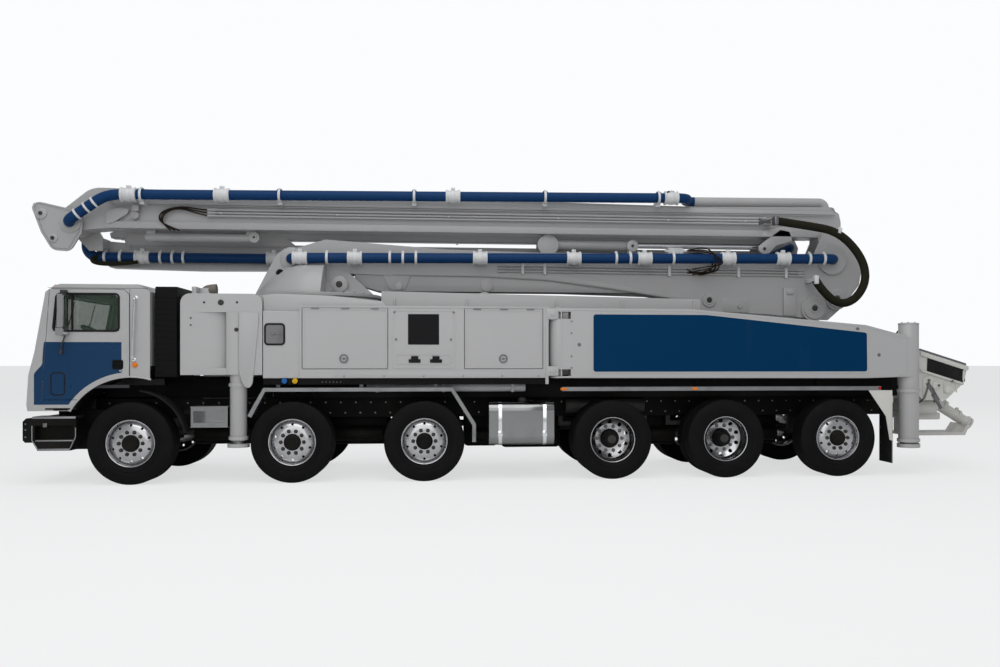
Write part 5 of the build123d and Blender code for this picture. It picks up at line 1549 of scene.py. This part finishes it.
def boss(form, x, z, radius, y, height=0.02, hole=0.045):
    """A round boss with a pin in its middle."""
    profile = [(0, 0), (radius, 0), (radius, height - 0.006), (radius - 0.006, height)]
    profile += [(hole + 0.022, height), (hole + 0.018, height + 0.008), (hole, height + 0.008)]
    profile += [(hole - 0.004, height), (0, height)]
    form.turned(profile, (x, y, z), "y", 40)


def boom_bosses(hand):
    """Bosses and pins at the joints."""
    form = Form(hand)
    boss(form, 2.572, 2.408, 0.1, BOOM_SIDE)
    boss(form, 4.112, 2.3, 0.16, 0.245, 0.016, 0.05)
    boss(form, 4.448, 2.44, 0.13, 0.245, 0.016, 0.05)
    boss(form, 3.02, 2.33, 0.035, BOOM_SIDE + 0.006, 0.012, 0.012)
    form.made("bosses_boom_1", "boom_paint", "boom_1")
    form = Form(hand)
    boss(form, -3.794, 3.239, 0.075, 0.05, 0.03, 0.018)
    boss(form, -5.328, 3.5, 0.055, BOOM_SIDE, 0.02, 0.03)
    form.box((-5.36, BOOM_SIDE, 3.55), (-5.27, BOOM_SIDE + 0.05, 3.64), 0.008)
    form.made("bosses_boom_2", "boom_paint", "boom_2")
    pins = Form(hand)
    for x, z in ((4.112, 2.3), (4.448, 2.44)):
        pins.stud(x, z, 0.261, 0.272, 0.04, sides=24, bevel=0.003)
    pins.stud(1.48, 3.18, 0.13, 0.134, 0.022)
    pins.stud(2.572, 2.408, 0.22, 0.2245, 0.038, sides=24)
    pins.made("pins_boom_1", "cast_iron", "boom_1", "boom_white")
    pins = Form(hand).stud(3.385, 3.15, 0.212, 0.216, 0.024)
    pins.stud(-3.794, 3.239, 0.08, 0.084, 0.024)
    pins.made("pins_boom_2", "cast_iron", "boom_2", "boom_white")


def hose_loops(y):
    """Short hydraulic hoses at the head and at the valves, and the wrap round the head's hoses."""
    hoses = Form()
    for n, out in enumerate((0, 0.035, 0.07)):
        route = [(-4.375, y - 0.016, 3.505 + n * 0.04), (-4.5, y - 0.03, 3.53 + n * 0.03)]
        route += [(-4.72, y - 0.045 - n * 0.01, 3.6 + out * 0.3), (-4.9 - out, y - 0.045, 3.56)]
        route += [(-4.98 - out * 0.6, y - 0.04, 3.44), (-4.93 + out * 0.4, y - 0.03, 3.36)]
        hoses.cable([*route, (-4.86 + out * 1.6, y - 0.012, 3.3)], 0.01)
    hoses.made("head_hoses", "thin_hose", "boom_2")
    hoses = Form()
    for n in range(3):
        out, drop, near = 0.05 * n, 0.04 * n, y - 0.055
        route = [(2.12, y - 0.01, 3.03 - n * 0.005), (2.3, y - 0.05, 3.075 - n * 0.01)]
        route += [(2.5 + out * 0.5, near, 3.07 - n * 0.01), (2.62 + out, near, 2.95)]
        route += [(2.58 + out, near, 2.8), (2.4, y - 0.045, 2.745 + n * 0.03), (2.22, y - 0.016, 2.86 - drop)]
        hoses.cable(route, 0.01)
        route = [(2.2, -0.4, 3.09), (2.42 + out, -0.46, 3.15 - drop), (2.58 + out, -0.47, 3.04 - drop)]
        route += [(2.6 + out, -0.47, 2.9), (2.5 + out, -0.45, 2.8 + drop), (2.3, -0.3, 2.76 + drop)]
        hoses.cable(route, 0.009)
    hoses.made("valve_hoses", "thin_hose", "boom_1")
    route = [(-5.98, 0.3, 3.00), (-6.06, 0.26, 2.96), (-6.02, 0.24, 2.905), (-5.85, 0.25, 2.885)]
    wrap = Form().cable([*route, (-5.6, 0.27, 2.9), (-5.45, 0.3, 2.93)], 0.032, 10)
    wrap.made("head_wrap", "hose_cover", "boom_3")


def valve_block():
    """The valve block on section 1."""
    block = Form().box((1.997, -0.13, 3.06), (2.221, 0.13, 3.16), 0.01)
    block.box((1.95, -0.12, 3.1), (2.27, -0.06, 3.13), 0.006)
    for x in (2.03, 2.1, 2.17):
        block.stud(x, 3.09, -0.131, -0.16, 0.018, sides=6)
        block.bar((x, 0, 3.15), (x, 0, 3.185), 0.022, sides=8, bevel=0.004)
    block.made("valve_block", "clamp_white", "boom_1")


def far_sections(near):
    """Seams, bosses and the head plate's ribs on sections 3 and 4."""
    form, pins = Form(), Form()
    for x, z, radius in ((-6.518, 3.5, 0.075), (-6.366, 3.173, 0.06), (-6.149, 3.389, 0.14)):
        profile = [(0, 0), (radius, 0), (radius, -0.012), (radius * 0.8, -0.018), (0, -0.018)]
        form.turned(profile, (x, near, z), "y", 36)
    rib = [(-6.6, 3.585), (-6.555, 3.635), (-6.14, 3.54), (-6.02, 3.45), (-6.03, 3.27), (-6.17, 3.03)]
    form.border([*rib, (-6.36, 3.045), (-6.49, 3.26)], 0.018, near + 0.002, near - 0.008, bevel=0.002)
    for y, out in ((0.45, -1), (0.71, 1)):
        for low in (2.9, 3.13):
            form.box((-5.6, y - 0.002, low), (3.4, y + out * 0.005, low + 0.03), 0.001)
        form.stud(4.0, 3.245, y, y + out * 0.03, 0.1, sides=32, bevel=0.006)
    head = [(-5.66, 3.18), (-3.3, 3.18), (-3.45, 3.31), (-5.6, 3.325), (-5.68, 3.26)]
    form.plate(head, 0.436, 0.449, bevel=0.002)
    form.made("boom_3_ribs", "boom_paint", "boom_3")
    for x, z in ((-6.518, 3.5), (-6.366, 3.173)):
        pins.stud(x, z, near - 0.018, near - 0.03, 0.026, bevel=0.003)
    pins.stud(-6.149, 3.389, near - 0.018, near - 0.026, 0.055, sides=28, bevel=0.003)
    pins.made("boom_3_pins", "cast_iron", "boom_3", "boom_white")


class PUMP_OT_boom_fittings(bpy.types.Operator):
    """Build the hydraulic tubes, clamps, bosses and seams on the boom's sides."""

    bl_idname = "pump.boom_fittings"
    bl_label = "Boom fittings"

    def execute(self, context):
        radius = context.scene.pump_boom.tube
        for hand in HANDS:
            heights, clamps = (3.505, 3.545, 3.585), (-4.2, -2.65, -1.13, 0.4, 1.97, 3.1)
            boom_tubes(hand, "boom_2", -4.33, 3.36, heights, clamps, 0, radius)
            heights, clamps = (2.872, 2.832, 2.792), (-0.1, 0.21, 1.99, 3.0, 3.7)
            boom_tubes(hand, "boom_1", -0.4, 3.92, heights, clamps, -0.006, radius)
            seams_of_2(hand, BOOM_SIDE)
            seams_of_1(hand, BOOM_SIDE)
            boom_bosses(hand)
        hose_loops(-BOOM_SIDE)
        valve_block()
        far_sections(-0.25)
        return {"FINISHED"}


class PUMP_OT_hose_bundle(bpy.types.Operator):
    """Build the wrapped hoses from section 1 to section 2, in place of the plain one."""

    bl_idname = "pump.hose_bundle"
    bl_label = "Hose bundle"

    def execute(self, context):
        y = -0.515
        route = [(3.435, 3.507), (3.9, 3.447), (4.36, 3.37), (4.7, 3.02), (4.775, 2.68), (4.6, 2.4)]
        route += [(4.36, 2.335), (4.12, 2.52), (4.018, 2.683)]
        form = Form().cable([(x, y, z) for x, z in route], 0.058, 20)
        bundle = form.made("hose_wrap", "hose_cover", "boom_1")
        bundle.parent = None
        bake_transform(bundle)
        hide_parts("hose_bundle")
        strap = Form().bar((4.336, y, 3.378), (4.376, y, 3.36), 0.066, sides=32, bevel=0.004)
        strap = strap.made("hose_strap", "clamp_white", "boom_1", "hose_black")
        strap.parent = None
        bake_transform(strap)
        ends = Form()
        for n, (dy, dz) in enumerate(((0.03, 0.02), (-0.03, 0.02), (0, -0.025))):
            route = [(3.3, -BOOM_SIDE - 0.016, 3.505 + n * 0.04), (3.38, -0.3, 3.53)]
            ends.cable([*route, (3.42, y + 0.08, 3.52 + dz), (3.47, y + dy, 3.505 + dz)], 0.016, 8)
        ends.box((3.405, y - 0.065, 3.445), (3.465, y + 0.065, 3.57), 0.012)
        ends.made("hose_ends_upper", "steel", "boom_2", "boom_white")
        clip = Form().box((3.988, y, 2.653), (4.048, -BOOM_SIDE - 0.001, 2.713), 0.008)
        clip.box((3.985, y - 0.064, 2.62), (4.05, y + 0.064, 2.745), 0.015)
        clip.made("hose_clip_lower", "clamp_white", "boom_1")
        return {"FINISHED"}


# ---- turret, deck and hopper
def turret_head(pivot):
    """Rings, dome, skirt, pins and lamp of the turret."""
    form = Form()
    for x, z, radius, y in ((-2.617, 2.585, 0.115, 0.285), (-3.263, 2.93, 0.15, 0.24)):
        profile = [(0, 0), (radius, 0), (radius, 0.014), (radius - 0.01, 0.02), (0, 0.02)]
        form.turned(profile, (x, y, z), "y", 40)
    rim = [(0.835, 2.398), (0.858, 2.402), (0.858, 2.434), (0.835, 2.444)]
    form.twin().turned(rim, pivot, "z", 72, closed=True)
    form.made("turret_rings", "boom_paint", "turret")
    section = [(0, 2.436), (0.85, 2.436), (0.845, 2.47), (0.62, 2.72), (0.54, 2.79), (0.46, 2.83)]
    dome = Form().turned([*section, (0, 2.835)], pivot, "z", 72)
    cutter = Form().box((-2.8, -1, 2.3), (-1.5, 1, 3.0))
    cutter.box((-3.47, -0.25, 2.445), (-2.5, 0.25, 3.1))
    cut(dome, cutter).made("turret_dome", "boom_paint", "turret")
    section = [(0.6, 2.12), (0.84, 2.16), (0.84, 2.388), (0.6, 2.388)]
    skirt = Form().turned(section, pivot, "z", 72, closed=True)
    skirt.made("slewing_ring_guard", "boom_paint", slot="body_white")
    pins = Form().stud(-2.617, 2.585, 0.305, 0.311, 0.045, bevel=0.002)
    pins.stud(-3.263, 2.93, 0.26, 0.275, 0.055, bevel=0.003).twin()
    pins.bolts(circle((pivot.x, 0, 2.44), 0.79, 30, "z"), "z", 0.014, 0.014, 0)
    pins.made("turret_pins", "cast_iron", "turret", "boom_white")
    lamp = Form().bar((-3.42, -0.3, 2.74), (-3.36, -0.36, 2.7), 0.05, 0.065, bevel=0.008)
    lamp.bar((-3.4, -0.24, 2.75), (-3.4, -0.32, 2.73), 0.012)
    lamp.made("turret_lamp", "black_plastic_and_painted_shade", "turret", "frame_black")


def cradle():
    """Side shields of the turret, walls beside the boom's cradle and a cylinder on the deck."""
    panel = [(-3.455, 2.16), (-3.455, 2.372), (-3.3, 2.386), (-2.62, 2.366), (-1.98, 2.3), (-1.9, 2.2)]
    for hand in HANDS:
        shield = Form(hand).plate(panel, 1.19, 1.202, bevel=0.003)
        shield.box((-3.455, 1.0, 2.16), (-3.44, 1.19, 2.372), 0.003)
        shield.bolts([(x, 1.202, 2.24) for x in (-3.38, -2.9, -2.4, -2.02)], "y", 0.008, 0.006)
        shield.made("turret_shield", "body_paint")
    wall = [(-2.02, 1.95), (2.3, 1.95), (2.3, 2.385), (-2.02, 2.465)]
    walls = Form().plate(wall, 0.7, 0.712, bevel=0.003)
    walls.plate([(-2.02, 2.455), (2.3, 2.375), (2.3, 2.385), (-2.02, 2.465)], 0.66, 0.7)
    for x in (-1.86, -0.9, 0.3, 1.2, 2.2):
        walls.box((x, 0.712, 1.95), (x + 0.02, 0.74, 2.37), 0.003)
    walls.twin().made("cradle_walls", "body_paint")
    barrel = Form().bar((-1.74, -0.3, 2.36), (-0.58, -0.3, 2.352), 0.122, sides=40, bevel=0.02)
    for x in (-1.8, -0.64):
        barrel.stud(x, 2.357, -0.42, -0.18, 0.128, sides=40, bevel=0.006)
        barrel.stud(x, 2.357, -0.432, -0.42, 0.06, sides=32, bevel=0.004)
        barrel.box((x - 0.03, -0.38, 2.07), (x + 0.03, -0.22, 2.3), 0.006)
    barrel.made("deck_cylinder", "boom_paint", slot="body_white")


def deck_trim(level):
    """Chequer plates on the deck, tank lids and the boom rest's pad."""
    plates = Form().box((-2.98, 0.84, level), (0.08, 1.21, level + 0.005), 0.001)
    plates.box((-3.43, 0.72, 1.321), (-3.02, 0.8, 1.326), 0.001)
    plates.twin().box((2.95, -0.35, 1.7), (3.45, 0.35, 1.706), 0.001)
    plates.box((4.35, -0.76, 1.2), (5.12, 0.76, 1.205), 0.001)
    plates.made("deck_treads", "chequer_aluminium")
    lids = Form()
    for x in (-1.9, -0.9):
        lids.bar((x, 0, 2.08), (x, 0, 2.105), 0.24, sides=40, bevel=0.006)
        lids.bar((x, 0, 2.1), (x, 0, 2.13), 0.09, sides=24, bevel=0.006)
    for y in (-0.17, 0.17):
        lids.bar((2.0, y, 1.56), (2.05, y, 1.557), 0.135, sides=36, bevel=0.006)
        lids.bar((3.6, y, 1.465), (3.65, y, 1.463), 0.135, sides=36, bevel=0.006)
    lids.made("tank_lids", "body_paint")
    Form().box((3.72, -0.17, 2.06), (3.87, 0.17, 2.075), 0.005).made("boom_rest_pad", "flap_rubber")


class PUMP_OT_turret(bpy.types.Operator):
    """Build the turret's rings, bosses, lamp and the deck's fittings."""

    bl_idname = "pump.turret"
    bl_label = "Turret and deck"

    def execute(self, context):
        turret_head(Vector((-2.912, 0, 0)))
        cradle()
        deck_trim(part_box("toolboxes")[1].z)
        return {"FINISHED"}


def hopper_edges(y):
    """Rim, ledges, bearings and valve housings, then the tray and the rubber guard."""
    form = Form()
    form.plate([(5.4, 1.615), (5.4, 1.672), (6.088, 1.462), (6.075, 1.405)], y - 0.004, y + 0.03, bevel=0.006)
    form.plate([(5.4, 1.395), (5.4, 1.425), (6.03, 1.235), (6.022, 1.205)], y - 0.004, y + 0.035, bevel=0.006)
    flange = [(5.44, 1.06), (5.44, 1.3), (5.56, 1.34), (5.6, 1.1), (5.5, 1.03)]
    form.plate(flange, y - 0.004, y + 0.014, corner=0.02, bevel=0.003)
    for x, z in ((5.62, 1.2), (5.8, 1.14)):
        form.stud(x, z, y, y + 0.03, 0.05, sides=28, bevel=0.006)
    for x in (5.47, 5.75, 5.93):
        form.box((x - 0.006, y, 1.1), (x + 0.006, y + 0.018, 1.24), 0.002)
    form.rod(y - 0.3, 0.9, 5.46, 5.78, 0.11, sides=32, bevel=0.012)
    form.rod(y - 0.3, 0.9, 5.42, 5.47, 0.135, sides=32, bevel=0.008)
    form.twin().box((6.085, -y, 1.41), (6.118, y, 1.472), 0.008)
    form.box((5.44, -0.46, 0.7), (5.9, 0.46, 0.8), 0.02)
    form.box((5.46, -0.5, 0.8), (5.8, 0.5, 1.0), 0.02)
    tray = [(5.5, 0.455), (6.4, 0.455), (6.47, 0.6), (6.44, 0.62), (6.36, 0.5), (5.5, 0.5)]
    form.plate(tray, -0.24, 0.24, bevel=0.004)
    form.box((5.52, -0.2, 0.48), (5.62, 0.2, 0.72), 0.008)
    form.made("hopper_edges", "hopper_paint")
    panel = [(5.5, 1.372), (5.51, 1.612), (6.055, 1.448), (6.022, 1.4), (6.018, 1.29), (6.03, 1.222)]
    guard = Form().plate(panel, y, y + 0.012, bevel=0.002)
    guard.bolts([(5.72, y + 0.012, 1.36), (5.9, y + 0.012, 1.42)], "y", 0.014, 0.008)
    guard.twin().box((6.06, -y + 0.03, 1.25), (6.082, y - 0.03, 1.4), 0.004)
    guard.made("hopper_guard", "flap_rubber")


def hopper_fittings(y):
    """Swing cylinders, small fittings and hoses on the hopper's sides, and the rear lamps."""
    fittings = Form().bar((5.5, y - 0.02, 1.24), (5.66, y - 0.02, 0.98), 0.045, sides=24, bevel=0.006)
    fittings.bar((5.66, y - 0.02, 0.98), (5.72, y - 0.02, 0.88), 0.022, sides=16)
    for x, z in ((5.52, 1.27), (5.66, 1.2), (5.86, 1.26), (5.6, 1.07)):
        fittings.stud(x, z, y, y + 0.045, 0.018, sides=6, bevel=0.003)
    route = [(5.52, y + 0.03, 1.24), (5.48, y + 0.035, 1.1), (5.44, y + 0.01, 0.98), (5.4, y - 0.08, 0.95)]
    fittings.cable(route, 0.012, 8)
    fittings.twin().made("hopper_fittings", "steel")
    Form().box((6.118, 0.55, 1.43), (6.124, 0.7, 1.462), 0.002).twin().made("rear_lamps", "red_lens")


def outlet_trim(bend, end):
    """Clamps and the elbow's collars on the outlet pipe."""
    along = (end - bend).normalized()
    form = Form()
    for reach, radius, width in ((0.1, 0.092, 0.05), (0.36, 0.09, 0.04), (0.53, 0.0975, 0.03)):
        place, half = bend + along * reach, along * width / 2
        form.bar(place - half, place + half, radius, sides=36, bevel=0.005)
    place = bend + along * 0.36
    form.box(place + Vector((-0.02, -0.02, 0.08)), place + Vector((0.02, 0.02, 0.12)), 0.005)
    form.made("outlet_clamps", "hopper_paint")


class PUMP_OT_hopper(bpy.types.Operator):
    """Build the hopper's rim, guard, agitator bearings, outlet clamps and rear lamps."""

    bl_idname = "pump.hopper"
    bl_label = "Hopper"

    def execute(self, context):
        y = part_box("hopper")[1].y
        hopper_edges(y)
        hopper_fittings(y)
        outlet_trim(Vector((6.111, 0, 0.929)), Vector((6.6, 0, 0.6)))
        return {"FINISHED"}


# ---- stage
class StageSettings(bpy.types.PropertyGroup):
    """Camera and light."""

    lens: FloatProperty(name="Lens", description="Focal length in millimetres", default=33.73, unit="CAMERA")
    sun: FloatProperty(name="Overhead light", description="Strength of the overhead light", default=1.5)
    sky: FloatProperty(name="Sky", description="Strength of the surroundings", default=0.43)


FLOOR_REACH = 400
CAMERA_PLACE = (-1.175, -13.28, 1.521)
CAMERA_TURN = -5.66


def surroundings(scene, sky):
    """Even surroundings that look brighter than they light."""
    world = bpy.data.worlds.new("studio")
    world.use_nodes = True
    nodes, links = world.node_tree.nodes, world.node_tree.links
    seen = nodes.new("ShaderNodeLightPath").outputs["Is Camera Ray"]
    strength = nodes.new("ShaderNodeMapRange")
    strength.inputs["To Min"].default_value = sky
    strength.inputs["To Max"].default_value = 1.0
    links.new(seen, strength.inputs["Value"])
    links.new(strength.outputs[0], nodes["Background"].inputs["Strength"])
    nodes["Background"].inputs["Color"].default_value = (0.97, 0.98, 1.0, 1)
    scene.world = world


def soft_light(name, place, target, size, power):
    """A square soft light aimed at a point."""
    light = placed(name, bpy.data.lights.new(name, "AREA"))
    arrange(light.data, shape="SQUARE", size=size, energy=power)
    light.location = place
    light.rotation_euler = (Vector(target) - Vector(place)).to_track_quat("-Z", "Y").to_euler()


class PUMP_OT_stage(bpy.types.Operator):
    """Lay the floor and set the lights and the camera."""

    bl_idname = "pump.stage"
    bl_label = "Stage"

    def execute(self, context):
        scene, settings = context.scene, context.scene.pump_stage
        form = Form().box((-FLOOR_REACH, -FLOOR_REACH, -0.02), (FLOOR_REACH, FLOOR_REACH, 0))
        floor = placed("studio_floor", form.data("studio_floor"))
        floor.data.materials.append(bpy.data.materials["studio_floor"])
        surroundings(scene, settings.sky)
        soft_light("overhead", (-2, -7, 14), (0, 0, 1.5), 14, settings.sun * 700)
        soft_light("front_fill", (-3, -22, 9), (0, 0, 2), 16, settings.sun * 520)
        soft_light("back_fill", (4, 16, 12), (0, 0, 2), 12, settings.sun * 300)
        camera = placed("camera", bpy.data.cameras.new("camera"))
        arrange(camera.data, lens=settings.lens, sensor_width=36, clip_end=FLOOR_REACH)
        arrange(camera.data, shift_x=-0.0383, shift_y=0.0288)
        camera.location = CAMERA_PLACE
        camera.rotation_euler = (math.radians(90), 0, math.radians(CAMERA_TURN))
        scene.camera = camera
        scene.view_settings.view_transform = "Standard"
        return {"FINISHED"}


# ---- panel and registration
class PUMP_PT_panel(bpy.types.Panel):
    """Lists the truck's steps and settings."""

    bl_label = "Concrete pump truck"
    bl_idname = "PUMP_PT_panel"
    bl_space_type = "VIEW_3D"
    bl_region_type = "UI"
    bl_category = "Pump truck"

    def draw(self, context):
        for operator in OPERATORS:
            self.layout.operator(operator.bl_idname)
        for holder in SETTINGS:
            group = getattr(context.scene, holder)
            for key in group.bl_rna.properties.keys():
                if key not in {"rna_type", "name"}:
                    self.layout.prop(group, key)


SETTINGS = {
    "pump_paint": PaintSettings,
    "pump_wheels": WheelSettings,
    "pump_cab": CabSettings,
    "pump_body": BodySettings,
    "pump_boom": BoomSettings,
    "pump_stage": StageSettings,
}
OPERATORS = (
    PUMP_OT_finishes,
    PUMP_OT_tyres,
    PUMP_OT_rims,
    PUMP_OT_cab_windows,
    PUMP_OT_cab_sides,
    PUMP_OT_cab_front,
    PUMP_OT_cab_interior,
    PUMP_OT_intake,
    PUMP_OT_body_panels,
    PUMP_OT_outriggers,
    PUMP_OT_underbody,
    PUMP_OT_pipe_clamps,
    PUMP_OT_boom_fittings,
    PUMP_OT_hose_bundle,
    PUMP_OT_turret,
    PUMP_OT_hopper,
    PUMP_OT_stage,
)


def register():
    """Registers the settings, the operators and the panel."""
    for holder, group in SETTINGS.items():
        bpy.utils.register_class(group)
        setattr(bpy.types.Scene, holder, PointerProperty(type=group))
    for operator in OPERATORS:
        bpy.utils.register_class(operator)
    bpy.utils.register_class(PUMP_PT_panel)


def unregister():
    """Removes what register added."""
    bpy.utils.unregister_class(PUMP_PT_panel)
    for operator in reversed(OPERATORS):
        bpy.utils.unregister_class(operator)
    for holder, group in SETTINGS.items():
        delattr(bpy.types.Scene, holder)
        bpy.utils.unregister_class(group)


def main():
    """Builds everything in order."""
    register()
    for operator in OPERATORS:
        group, name = operator.bl_idname.split(".")
        getattr(getattr(bpy.ops, group), name)()


if __name__ == "__main__":
    main()
